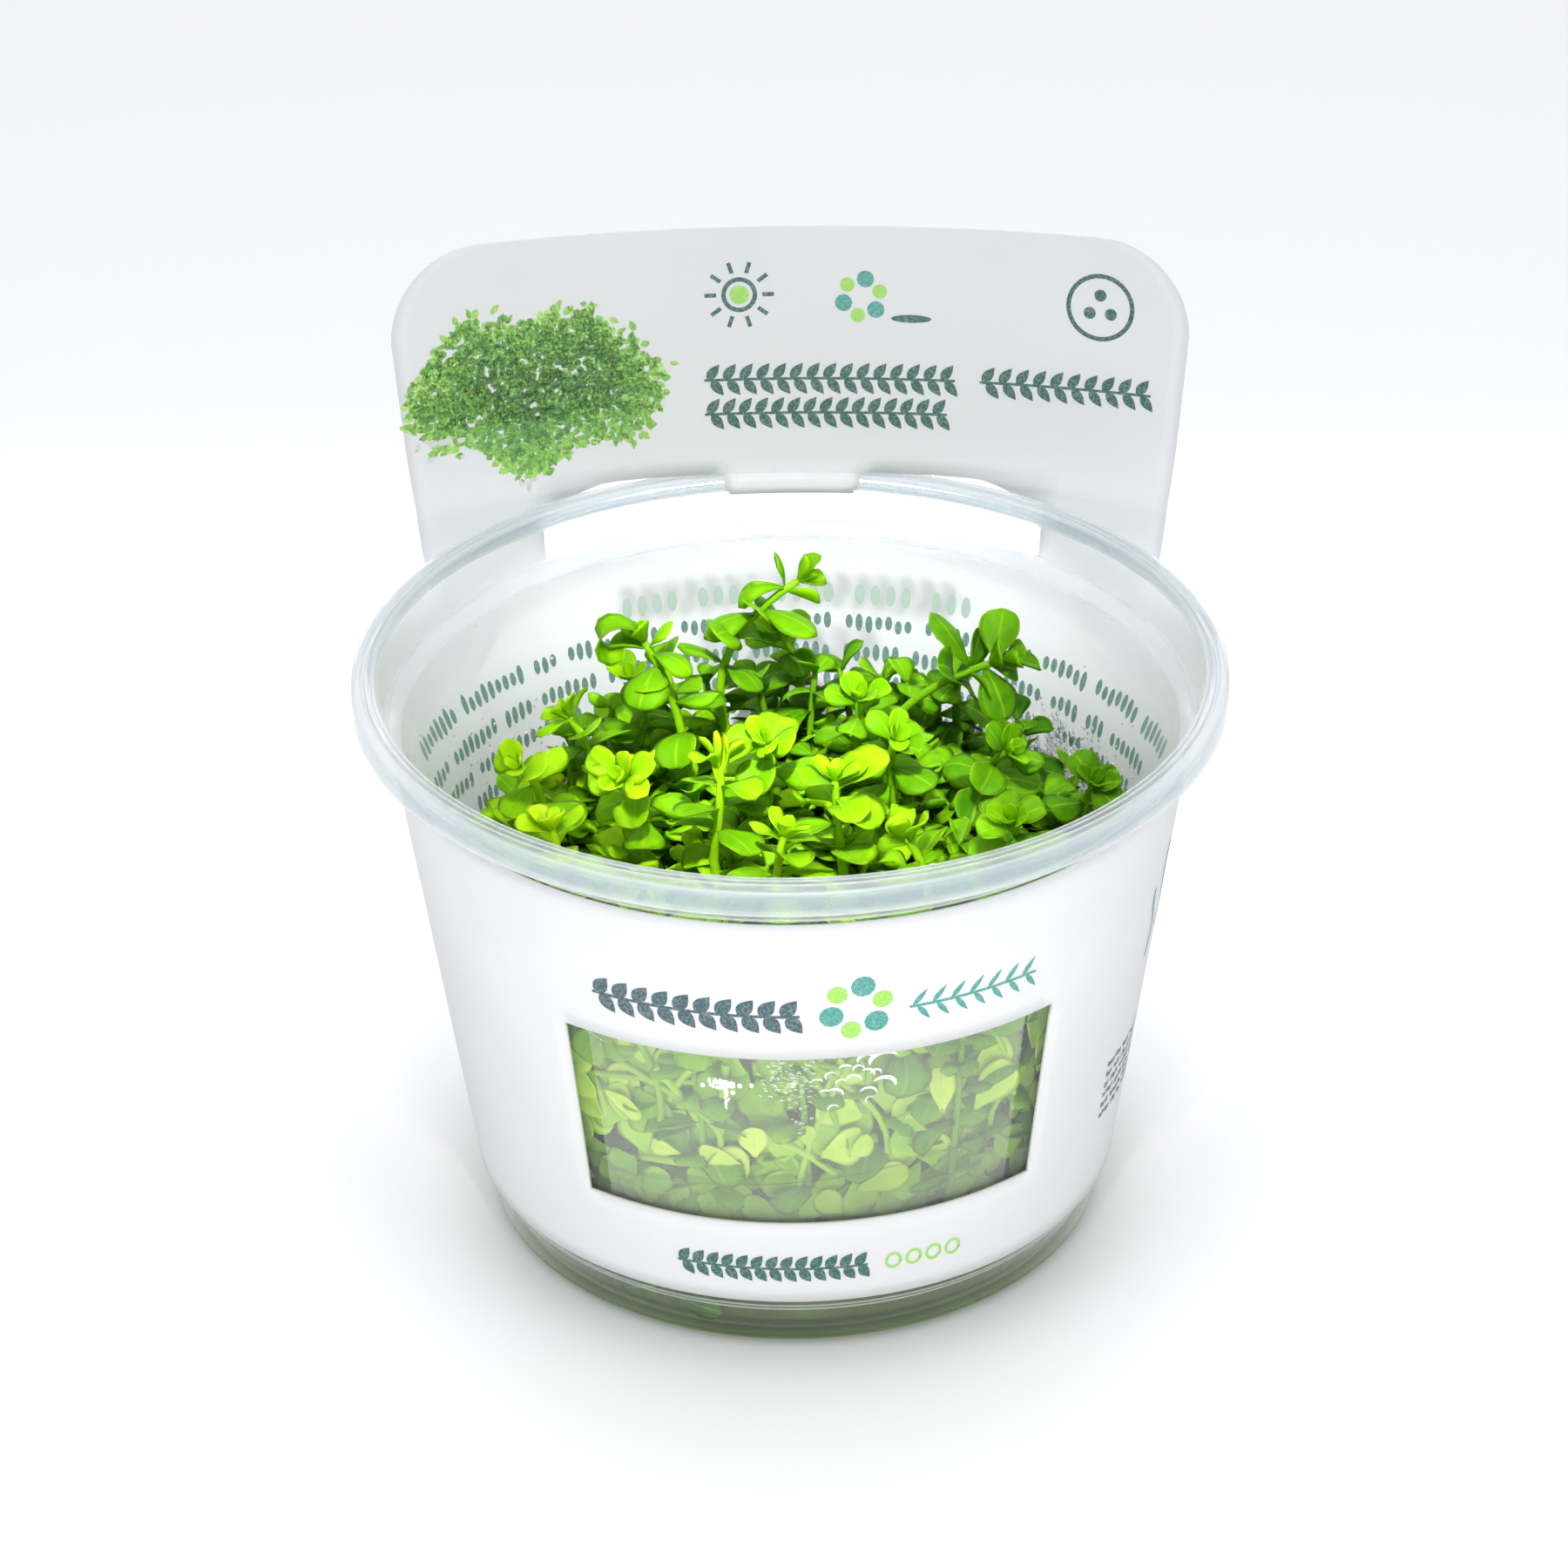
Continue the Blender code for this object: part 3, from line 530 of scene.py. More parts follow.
def leaf_material(name, greens):
    """Leaf blades: greener or yellower by their tint, with a midrib, a painted highlight at the margin and
    tip, mottling and light through them.
    """
    nodes = Nodes(name)
    mottle = nodes.noise(420, 2, 0.6)
    shaded = nodes.combine("ADD", nodes.tint(), nodes.spread(mottle, -0.07, 0.07))
    blade_map = nodes.add("UVMap", uv_map="blade").outputs["UV"]
    on_blade = nodes.add("SeparateXYZ", {"Vector": blade_map}).outputs
    aside = nodes.combine("ABSOLUTE", on_blade["Y"])
    rib = nodes.span(aside, 0.0, 0.1, 0.35, 0.0)
    # The midrib is paler in its own colour; the lighter margin and tip are a painted highlight of light
    # through the thin edge.
    painted_margin_light = nodes.span(aside, 0.86, 1.0, 0.0, 0.4)
    tip = nodes.span(on_blade["X"], 0.93, 1.0, 0.0, 0.4)
    lines = nodes.combine("MAXIMUM", rib, nodes.combine("MAXIMUM", painted_margin_light, tip))
    inputs = {"Factor": lines, "A": nodes.ramp(shaded, *greens), "B": LINE_GREEN}
    blade = nodes.add("Mix", inputs, data_type="RGBA").outputs["Result"]
    nodes.set(Base_Color=blade, Roughness=nodes.spread(mottle, 0.42, 0.58), Specular_IOR_Level=0.1)
    normal = nodes.bump(mottle, 0.25, 0.0004)
    brighter = nodes.add("Gamma", {"Color": blade, "Gamma": 0.72}).outputs["Color"]
    return nodes.lit_through(0.34, {"Color": brighter, "Normal": normal})


def drop_material():
    nodes = Nodes("water drops")
    nodes.set(Base_Color=(0.97, 0.99, 1, 1), Transmission_Weight=0.8, IOR=WATER_IOR,
              Roughness=nodes.grain(300, 0.0, 0.05))
    return nodes.material


def painted_highlight_material():
    """Painted highlights on the upper edges of the drops and on a splash on the wall."""
    nodes = Nodes("painted highlights on the drops")
    colour = nodes.clouds(nodes.noise(500), (0.86, 0.92, 0.84), (0.96, 0.98, 0.95))
    nodes.set(Base_Color=colour, Roughness=nodes.grain(300, 0.1, 0.3))
    return nodes.material


# Cup

def turned(profile):
    """Turns a profile of (radius, height) that starts and ends on the axis."""
    shape = bmesh.new()
    rings = []
    turns = [math.tau * index / TURNS for index in range(TURNS)]
    sides = [(math.sin(turn), math.cos(turn)) for turn in turns]
    for radius, height in profile[1:-1]:
        rings.append([shape.verts.new((radius * right, radius * back, height)) for right, back in sides])
    first = shape.verts.new((0, 0, profile[0][1]))
    last = shape.verts.new((0, 0, profile[-1][1]))
    for index in range(TURNS):
        after = (index + 1) % TURNS
        shape.faces.new((first, rings[0][index], rings[0][after]))
        shape.faces.new((last, rings[-1][after], rings[-1][index]))
        for low, high in zip(rings, rings[1:]):
            shape.faces.new((low[index], high[index], high[after], low[after]))
    bmesh.ops.recalc_face_normals(shape, faces=shape.faces)
    return shape


def arc(middle, radius, start, end, steps):
    """Points of an arc in the profile's plane, in degrees from the outward axis."""
    turns = [math.radians(start + (end - start) * step / steps) for step in range(steps + 1)]
    return [(middle[0] + radius * math.cos(turn), middle[1] + radius * math.sin(turn)) for turn in turns]


def near(radius, height, *offsets):
    """Points of a profile at these offsets, outwards and up, from one place."""
    return [(radius + outward, height + up) for outward, up in offsets]


def cup_profile():
    """The cup as (radius, height), from under the base, round the rim and down to the floor inside."""
    corner = wall_radius(BASE_CORNER) - COLLAR_STEP - BASE_CORNER
    skirt_foot = CUP_HEIGHT - SKIRT_DEPTH + 0.3
    half_way = 30
    return [
        (0, 0.35), (corner - 4, 0.35), (corner - 2.6, 0.0),
        *arc((corner, BASE_CORNER), BASE_CORNER, -90, -8, 7),
        (wall_radius(COLLAR_HEIGHT - 0.2) - COLLAR_STEP, COLLAR_HEIGHT - 0.2),
        (wall_radius(COLLAR_HEIGHT) - COLLAR_STEP + 0.08, COLLAR_HEIGHT + 0.1),
        (wall_radius(COLLAR_HEIGHT + 0.5) - 0.06, COLLAR_HEIGHT + 0.5),
        (wall_radius(COLLAR_HEIGHT + 0.8), COLLAR_HEIGHT + 0.8),
        (wall_radius(half_way), half_way),
        (wall_radius(LEDGE_HEIGHT - 0.5), LEDGE_HEIGHT - 0.5),
        (wall_radius(LEDGE_HEIGHT) + 0.12, LEDGE_HEIGHT - 0.1),
        *near(RIM_INNER_RADIUS, LEDGE_HEIGHT, (-1.0, 0.55), (-0.65, 1.0)),
        *near(RIM_INNER_RADIUS, CUP_HEIGHT, (0.4, -2.2), (0.9, -1.5)),
        *near(RIM_RADIUS, CUP_HEIGHT, (-1.3, -1.2), (-0.8, -1.6)),
        (RIM_RADIUS - 0.7, skirt_foot),
        *arc((RIM_RADIUS - 0.38, skirt_foot), 0.32, 180, 360, 5),
        (RIM_RADIUS, CUP_HEIGHT - 1.5),
        *arc((RIM_RADIUS - 1.0, CUP_HEIGHT - 1.0), 1.0, 10, 90, 6),
        *near(RIM_RADIUS, CUP_HEIGHT, (-1.25, -0.42), (-1.45, -0.46), (-1.6, -0.06), (-1.95, -0.06),
              (-2.05, -0.36), (-2.2, -0.36)),
        *arc((RIM_INNER_RADIUS + 0.5, CUP_HEIGHT - 0.5), 0.5, 90, 180, 4),
        (RIM_INNER_RADIUS - 0.3, CUP_HEIGHT - 2.0),
        *near(RIM_INNER_RADIUS, LEDGE_HEIGHT, (-1.35, 1.1), (-1.55, 0.75)),
        *near(wall_radius(LEDGE_HEIGHT) - WALL, LEDGE_HEIGHT, (0.25, 0.15), (0, -0.5)),
        (wall_radius(half_way) - WALL, half_way),
        (wall_radius(INSIDE_FOOT) - WALL - COLLAR_STEP, INSIDE_FOOT),
        *near(corner, FLOOR, (0.4, 0.7), (-0.5, 0.1), (-3.0, 0.25)),
        (0, FLOOR + 0.25),
    ]


def cup_finish(middle):
    """Which finish a face of the cup has: 0 is the wall, 1 the rim and the painted highlight lines at the
    ledge and collar, 2 the base.
    """
    in_rim = middle.z > CUP_HEIGHT - 1.2 or middle.z > 66 and middle.xy.length > RIM_INNER_RADIUS + 0.5
    # The ledge band and the two collar rings take the rim's milky white finish: painted highlight lines.
    painted_ledge_line = -0.2 < middle.z - LEDGE_HEIGHT < 1
    painted_collar_lines = -0.2 < middle.z - COLLAR_HEIGHT < 0.1 or 0.55 < middle.z - COLLAR_HEIGHT < 0.75
    if in_rim or painted_ledge_line or painted_collar_lines:
        return 1
    return 2 if middle.z < 3 else 0


def make_cup():
    shape = turned(cup_profile())
    for face in shape.faces:
        face.material_index = cup_finish(face.calc_center_median())
    finishes = [clear_wall_material(), rim_material(), base_material()]
    finish_piece(link_bmesh("clear_cup", shape, finishes), ["cup"])


# Card sleeve and header

def card_point(along, height):
    """A point of the card's middle layer, along mm round from the back's middle."""
    inner = wall_radius(height) + GAP + CARD / 2
    angle = along / CARD_RADIUS
    cone = Vector((inner * math.sin(angle), inner * math.cos(angle), height))
    opening = smooth_step((height - BOW_START) / (BOW_END - BOW_START))
    bend = (1 - opening) / inner + opening / HEADER_BOW
    turn = bend * angle * min(inner, CARD_RADIUS)
    bow = Vector((math.sin(turn) / bend, inner - (1 - math.cos(turn)) / bend, height))
    past_header = abs(along - HEADER_MIDDLE) - HEADER_HALF_WIDTH - 1
    return bow.lerp(cone, smooth_step(past_header / BOW_FADE))


def card_face(along, height, lift):
    """A point lift mm off the card's middle layer, outwards where lift is positive."""
    step = 0.05
    here = card_point(along, height)
    side = card_point(along + step, height) - here
    rise = card_point(along, height + step) - here
    return here + side.cross(rise).normalized() * -lift


def header_half_width(height):
    if height <= SLOT_TOP:
        return HEADER_HALF_WIDTH
    if height <= HEADER_SHOULDER:
        along = (height - SLOT_TOP) / (HEADER_SHOULDER - SLOT_TOP)
        return HEADER_HALF_WIDTH + (HEADER_WIDEST - HEADER_HALF_WIDTH) * along
    rise = height - HEADER_SHOULDER
    return HEADER_WIDEST - HEADER_CORNER + math.sqrt(max(0.0, HEADER_CORNER ** 2 - rise ** 2))


def stations(edges, step):
    """Positions from the first edge to the last, with every edge among them and none over step apart."""
    found = [edges[0]]
    for low, high in zip(edges, edges[1:]):
        count = max(1, math.ceil((high - low) / step))
        found += [low + (high - low) * (index + 1) / count for index in range(count)]
    return found


def add_band(shape, arcs, window):
    """The sleeve's cone round the cup, with the window left out. Gives its upper row of points."""
    heights = stations([SLEEVE_BOTTOM, WINDOW_BOTTOM, WINDOW_TOP, SLEEVE_TOP], 2.2)
    rows = [[shape.verts.new(card_point(along, height)) for along in arcs] for height in heights]
    for row, (lower, upper) in enumerate(zip(rows, rows[1:])):
        in_band = WINDOW_BOTTOM < (heights[row] + heights[row + 1]) / 2 < WINDOW_TOP
        for column, along in enumerate(arcs):
            after = (column + 1) % len(arcs)
            if not in_band or window[0] < along + 0.5 < window[1]:
                shape.faces.new((lower[column], upper[column], upper[after], lower[after]))
    return rows[-1]


def add_header(shape, arcs, top):
    """The header above the band's top, with the slot left out. Gives the points that the tab hangs from."""
    offsets = [along - HEADER_MIDDLE for along in arcs]
    header = [index for index, offset in enumerate(offsets) if abs(offset) < HEADER_HALF_WIDTH + TOUCH]
    offsets = [offsets[index] for index in header]
    corner = [HEADER_SHOULDER + HEADER_CORNER * math.sin(math.radians(6 * turn)) for turn in range(1, 16)]
    below = [top[index] for index in header]
    for height in stations([SLEEVE_TOP, SLOT_TOP, HEADER_SHOULDER], 2.0)[1:] + corner:
        by_slot = height < SLOT_TOP + TOUCH
        widen = header_half_width(height) / HEADER_HALF_WIDTH
        # The slot's upper corners are rounded. The rows below them sag too, so that none folds over
        sag = SLOT_SAG * (height - SLEEVE_TOP) / (SLOT_TOP - SLEEVE_TOP) if by_slot else 0
        above = []
        for offset in offsets:
            low = sag * smooth_step(1 - abs(abs(offset) - SLOT_HALF_WIDTH) / SAG_REACH)
            above.append(shape.verts.new(card_point(HEADER_MIDDLE + offset * widen, height - low)))
        for left in range(len(header) - 1):
            if not (by_slot and abs(offsets[left] + 0.5) < SLOT_HALF_WIDTH):
                shape.faces.new((below[left], above[left], above[left + 1], below[left + 1]))
        below = above
        if abs(height - SLOT_TOP) < TOUCH:
            tab_top = [vert for vert, offset in zip(above, offsets) if abs(offset) < TAB_HALF_WIDTH + TOUCH]
    return tab_top


def add_tab(shape, tab_top):
    """The tab that hooks down inside the rim."""
    upper = tab_top
    for drop, inward, narrow in TAB_FOLDS:
        lower = [shape.verts.new((HEADER_MIDDLE + (vert.co.x - HEADER_MIDDLE) * narrow, vert.co.y - inward,
                                  SLOT_TOP - drop)) for vert in tab_top]
        for left in range(len(lower) - 1):
            shape.faces.new((lower[left], upper[left], upper[left + 1], lower[left + 1]))
        upper = lower


def make_sleeve():
    half_turn = math.pi * CARD_RADIUS
    edges = (-180 - WINDOW_LEFT, 180 - WINDOW_RIGHT)
    window = [math.radians(edge) * CARD_RADIUS for edge in edges]
    cuts = [HEADER_MIDDLE + side * half for half in (TAB_HALF_WIDTH, SLOT_HALF_WIDTH, HEADER_HALF_WIDTH)
            for side in (-1, 1)]
    arcs = stations(sorted([-half_turn, *window, half_turn, *cuts]), 2.0)[:-1]
    shape = bmesh.new()
    top = add_band(shape, arcs, window)
    add_tab(shape, add_header(shape, arcs, top))
    bmesh.ops.delete(shape, geom=[vert for vert in shape.verts if not vert.link_faces], context="VERTS")
    bmesh.ops.recalc_face_normals(shape, faces=shape.faces)
    sleeve = link_bmesh("card_with_header", shape, [card_material()])
    thicken = sleeve.modifiers.new("card thickness", "SOLIDIFY")
    thicken.thickness = CARD * MM
    thicken.offset = 0.0
    thicken.use_even_offset = True
    finish_piece(sleeve, ["card_sleeve"])


# Prints on the card

def beside(x, y, reach, turn):
    """The point that lies reach away from (x, y), at a turn in radians."""
    return x + reach * math.cos(turn), y + reach * math.sin(turn)


class Print:
    """Flat shapes in mm across and up the card, laid onto its face as one thin skin."""

    def __init__(self):
        self.points = []
        self.faces = []
        self.tints = []

    def add(self, points, faces, tint=0.5):
        start = len(self.points)
        self.points += points
        self.faces += [tuple(start + index for index in face) for face in faces]
        self.tints += [tint] * len(points)

    def fan(self, outline, tint=0.5):
        count = len(outline)
        middle = (sum(x for x, _ in outline) / count, sum(y for _, y in outline) / count)
        faces = [(0, 1 + index, 1 + (index + 1) % count) for index in range(count)]
        self.add([middle, *outline], faces, tint)

    def strip(self, one_side, other_side):
        count = len(one_side)
        self.add([*one_side, *other_side],
                 [(index, index + 1, count + index + 1, count + index) for index in range(count - 1)])

    def line(self, route, width):
        ends = [(min(index + 1, len(route) - 1), max(index - 1, 0)) for index in range(len(route))]
        sides = ([], [])
        for (x, y), (after, before) in zip(route, ends):
            ahead = Vector(route[after]) - Vector(route[before])
            across = Vector((-ahead.y, ahead.x)).normalized() * width / 2
            sides[0].append((x + across.x, y + across.y))
            sides[1].append((x - across.x, y - across.y))
        self.strip(*sides)

    def ring(self, x, y, radius, width):
        """Two lines: one nearly round, and a short one that closes the ring."""
        route = [beside(x, y, radius, math.tau * step / 36) for step in range(37)]
        self.line(route[:-1], width)
        self.line(route[-3:], width)

    def oval(self, x, y, width, height, tint=0.5):
        turns = [math.tau * step / 12 for step in range(12)]
        self.fan([(x + width / 2 * math.cos(turn), y + height / 2 * math.sin(turn)) for turn in turns], tint)

    def leaf(self, x, y, length, width, turn, tint=0.5):
        """A pointed leaf that grows from (x, y) towards the turn, in degrees."""
        ahead = (math.cos(math.radians(turn)), math.sin(math.radians(turn)))
        steps = [step / 7 for step in range(8)]
        half = [width / 2 * math.sin(math.pi * step ** 0.8) for step in steps]
        outline = [(length * step, side) for step, side in zip(steps, half)]
        outline += [(length * step, -side) for step, side in list(zip(steps, half))[-2:0:-1]]
        self.fan([(x + far * ahead[0] - side * ahead[1], y + far * ahead[1] + side * ahead[0])
                  for far, side in outline], tint)

    def crescent(self, x, y, radius, rng):
        """A painted highlight on the upper edge of a drop."""
        start, sweep, thick = rng.uniform(-35, 25), rng.uniform(140, 225), rng.uniform(0.25, 0.5)
        turns = [math.radians(start + sweep * step / 10) for step in range(11)]
        inner = [radius * (1 - thick * math.sin(math.pi * step / 10) ** 0.6) for step in range(11)]
        self.strip([beside(x, y, radius, turn) for turn in turns],
                   [beside(x, y, reach, turn) for reach, turn in zip(inner, turns)])

    def make(self, name, finish, place, slot="white_card"):
        points = [place(x, y) * MM for x, y in self.points]
        finish_piece(add_object(name, new_mesh(name, points, self.faces, finish, self.tints)))


def on_wall(across, height):
    """On the wall's inner face, across mm to the right of the front's middle."""
    return round_front(wall_radius(height) - WALL - HIGHLIGHT_LIFT, across / WALL_RADIUS, height)


def on_inside(across, height):
    """On the card's inner face, across mm to the right of the back's middle."""
    return card_face(across, height, -CARD / 2 - INK_LIFT)


def on_outside(across, height):
    """On the card's outer face, across mm to the right of the front's middle."""
    return card_face(math.pi * CARD_RADIUS - across, height, CARD / 2 + INK_LIFT)


def garland(sheet, left, right, height, size, slim=1.0):
    """A straight stalk with small leaves above and below."""
    count = max(2, round((right - left) / (size * 0.8)))
    sheet.line([(left + (right - left) * step / count, height) for step in range(count + 1)], size * 0.13)
    for step in range(count):
        x = left + (right - left) * (step + 0.15) / count
        sheet.leaf(x, height, size, size * 0.5 * slim, 52)
        sheet.leaf(x + size * 0.2, height, size, size * 0.5 * slim, -52)


def make_header_prints(inks):
    rng = random.Random(SEED + 20)
    picture = Print()
    for _ in range(PICTURE_LEAVES):
        radius = rng.random() ** 0.5 * rng.gauss(1, 0.05)
        turn = rng.uniform(0, math.tau)
        x = -30.5 + 15.6 * radius * math.cos(turn)
        y = 83.0 + 9.2 * radius * math.sin(turn) + 1.2 * math.sin(x * 0.45)
        picture.leaf(x, y, rng.uniform(0.8, 1.5), rng.uniform(0.55, 1.0), rng.uniform(0, 360),
                     0.05 + 0.5 * rng.random() + 0.4 * radius ** 2)
    picture.make("header_picture", picture_material(), on_inside)

    dark = Print()
    garland(dark, -10, 20.5, 82.6, 2.5)
    garland(dark, 23.5, 44.5, 82.6, 2.5)
    garland(dark, -10, 19.5, 78.3, 2.5)
    seal = (38.2, 93)
    dark.ring(*seal, 3.9, 0.55)
    for turn in (90, 210, 330):
        dark.oval(*beside(*seal, 1.5, math.radians(turn)), 1.5, 1.5)
    sun = (-5.6, 93.2)
    dark.ring(*sun, 1.9, 0.55)
    for ray in range(10):
        turn = math.tau * ray / 10
        dark.line([beside(*sun, reach, turn) for reach in (2.8, 4.2)], 0.5)
    dark.oval(15.2, 90.2, 5.0, 1.0)
    dark.make("header_marks", inks["dark"], on_inside)

    green, teal = Print(), Print()
    green.oval(*sun, 2.4, 2.4)
    blossom((green, teal), 9.2, 92.8, 2.3)
    green.make("header_green", inks["green"], on_inside)
    teal.make("header_teal", inks["teal"], on_inside)


def blossom(sheets, x, y, reach):
    """Six round petals, in the two inks by turns."""
    for petal in range(6):
        size = reach * (0.92 if petal % 2 else 0.78)
        sheets[petal % 2].oval(*beside(x, y, reach, math.tau * (petal + 0.3) / 6), size, size)


def make_front_prints(inks):
    slate = Print()
    garland(slate, -24.3, 0.6, 50.2, 3.0, 1.25)
    slate.make("front_garland", inks["slate"], on_outside)
    teal = Print()
    garland(teal, 13.4, 30.0, 50.2, 2.8, 0.5)
    teal.line([(62 + math.sin(step * 0.5), 40 + step) for step in range(13)], 0.7)
    teal.line([(58 + math.sin(step * 0.5), 38 + step) for step in range(11)], 0.7)
    green = Print()
    blossom((green, teal), 7.2, 51.0, 3.1)
    teal.make("front_teal", inks["teal"], on_outside)
    for step in range(4):
        green.ring(13.2 + 2.9 * step, 12.6, 1.0, 0.4)
    green.make("front_green", inks["green"], on_outside)
    dark = Print()
    garland(dark, -16.5, 9.6, 12.6, 2.5, 1.2)
    dark.make("front_low", inks["dark"], on_outside)


def make_rows(sheet, rng, left, right, height, tall):
    """A row of small ovals in groups."""
    x = left
    while x < right:
        for _ in range(rng.randint(3, 9)):
            sheet.oval(x, height + rng.uniform(-0.15, 0.25), 0.5 * tall, tall * rng.uniform(0.8, 1.25))
            x += 0.68 * tall
        x += 0.8 * tall


def make_small_rows(inks):
    rng = random.Random(SEED + 30)
    inside = Print()
    for height, left, right in ((51.6, -60, 60), (47.7, -60, 58), (44.0, -60, 52), (40.3, -58, 50)):
        make_rows(inside, rng, left, right, height, 1.9)
    inside.make("inside_rows", inks["soft"], on_inside)
    # A pale row on the inside, just behind the back's print: a painted shadow of that print, as it shows
    # through the card.
    ghost = Print()
    for x in range(-23, 24, 2):
        if x % 5 != 2:
            ghost.oval(x, 55.3, 1.3, 2.6)
    ghost.make("inside_painted_show_through", inks["ghost"], on_inside)
    outside = Print()
    for row in range(6):
        make_rows(outside, rng, 50, 62, 27 - 1.5 * row, 0.75)
    half_turn = math.pi * CARD_RADIUS
    for row in range(9):
        make_rows(outside, rng, half_turn - 20, half_turn + 20, 40 - 2.6 * row, 1.1)
    outside.make("outside_rows", inks["dark"], on_outside)
    heading = Print()
    garland(heading, half_turn - 22, half_turn + 22, 55.5, 3.4, 1.2)
    garland(heading, half_turn - 12, half_turn + 12, 48.0, 4.4, 1.2)
    heading.make("back_garlands", inks["dark"], on_outside)


def make_prints():
    inks = {
        "dark": ink_material("dark green", (0.02, 0.10, 0.08)),
        "slate": ink_material("slate", (0.035, 0.085, 0.10)),
        "teal": ink_material("teal", (0.05, 0.28, 0.25)),
        "green": ink_material("light green", (0.28, 0.58, 0.08)),
        "soft": ink_material("soft green", (0.10, 0.26, 0.21)),
        "ghost": ink_material("pale green", (0.55, 0.70, 0.62)),
    }
    make_header_prints(inks)
    make_front_prints(inks)
    make_small_rows(inks)


# Water on the inside of the wall

def tube_faces(rings, sides):
    """The numbers of a tube's points, ring by ring, and its quads."""
    grid = np.arange(rings * sides).reshape(rings, sides)
    after = np.roll(grid, -1, axis=1)
    return grid, np.stack((grid[:-1], after[:-1], after[1:], grid[1:]), axis=-1).reshape(-1, 4)


def cap_faces(ring):
    """Quads that close a ring with an even number of points."""
    return np.array([(ring[index], ring[index + 1], ring[-2 - index], ring[-1 - index])
                     for index in range(len(ring) // 2 - 1)])


def add_drop(mass, degrees, height, radius, rng):
    """A low round drop that clings to the wall's inner face."""
    turn = math.radians(degrees)
    outward = np.array((math.sin(turn), -math.cos(turn), 0.0))
    across = np.array((math.cos(turn), math.sin(turn), 0.0))
    upward = np.array((0.0, 0.0, 1.0)) + outward * TAPER
    middle = outward * (wall_radius(height) - WALL) + np.array((0.0, 0.0, height))
    sides, levels = 10, 4
    stretch = rng.uniform(0.85, 1.15)
    points = []
    for level in range(levels):
        lift = math.radians(90 * level / (levels - 0.6))
        for side in range(sides):
            angle = math.tau * side / sides
            points.append(middle - outward * radius * 0.55 * math.sin(lift)
                          + across * radius * math.cos(lift) * math.cos(angle)
                          + upward * radius * stretch * math.cos(lift) * math.sin(angle))
    grid, quads = tube_faces(levels, sides)
    quads = np.concatenate((quads, cap_faces(grid[-1]), cap_faces(grid[0])[:, ::-1]))
    mass.add(np.array(points), quads, np.full(len(points), 0.5), np.zeros((len(points), 2)))


def make_drops():
    rng = random.Random(SEED + 40)
    mass = LeafMass()
    # Middle in degrees and height, spread in degrees and mm, how many, smallest and largest radius
    patches = (
        (127, 42.5, 7, 2.6, 240, 0.12, 0.4),
        (133, 39, 9, 3, 120, 0.1, 0.3),
        (1, 35.0, 0.7, 1.6, 14, 0.12, 0.3),
        (-100, 46, 40, 5, 90, 0.1, 0.25),
        (90, 48, 50, 5, 90, 0.1, 0.25),
    )
    for degrees, height, wide, tall, count, small, large in patches:
        for _ in range(count):
            add_drop(mass, rng.gauss(degrees, wide), rng.gauss(height, tall), rng.uniform(small, large), rng)
    # The crescents and the splash are painted highlights: white marks laid on the wall's inner face.
    drop_highlights = Print()
    for degrees, height, radius in BIG_DROP_HIGHLIGHTS:
        drop_highlights.crescent(math.radians(degrees) * WALL_RADIUS, height, radius, rng)
    for _ in range(SMALL_DROP_HIGHLIGHTS):
        drop_highlights.crescent(math.radians(rng.gauss(-0.5, 2.6)) * WALL_RADIUS, rng.gauss(39.8, 1.9),
                        rng.uniform(0.08, 0.26), rng)
    splash_highlight = math.radians(-11.3) * WALL_RADIUS
    for step in range(26):
        drop_highlights.oval(splash_highlight + rng.gauss(0, 0.9), 38.8 + rng.gauss(0, 0.35), rng.uniform(0.25, 0.9),
                    rng.uniform(0.2, 0.8))
        drop_highlights.oval(splash_highlight + 0.3 + rng.gauss(0, 0.12), 38.6 - 0.13 * step, 0.5 - 0.014 * step, 0.3)
    drop_highlights.make("drop_painted_highlights", painted_highlight_material(), on_wall, "clear_plastic")
    mass.make("water_drops", drop_material(), slot="clear_plastic", keep_in=False)


def make_haze_and_reflection():
    """The misted part of the wall behind the window, whose pale film is also a painted reflection."""
    columns, rows = 40, 8
    left, wide, low, tall = -33.5, 72, 15, 32
    turns = [math.radians(left + wide * column / columns) for column in range(columns + 1)]
    heights = [low + tall * row / rows for row in range(rows + 1)]
    points = [round_front(wall_radius(height) - WALL - HAZE_AND_REFLECTION_LIFT, turn, height) * MM
              for height in heights for turn in turns]
    corners = [row * (columns + 1) + column for row in range(rows) for column in range(columns)]
    faces = [(corner, corner + 1, corner + columns + 2, corner + columns + 1) for corner in corners]
    mesh = new_mesh("condensation_haze_and_painted_reflection", points, faces, haze_and_reflection_material())
    mesh.shade_smooth()
    finish_piece(add_object("condensation_haze_and_painted_reflection", mesh))


# Leaves

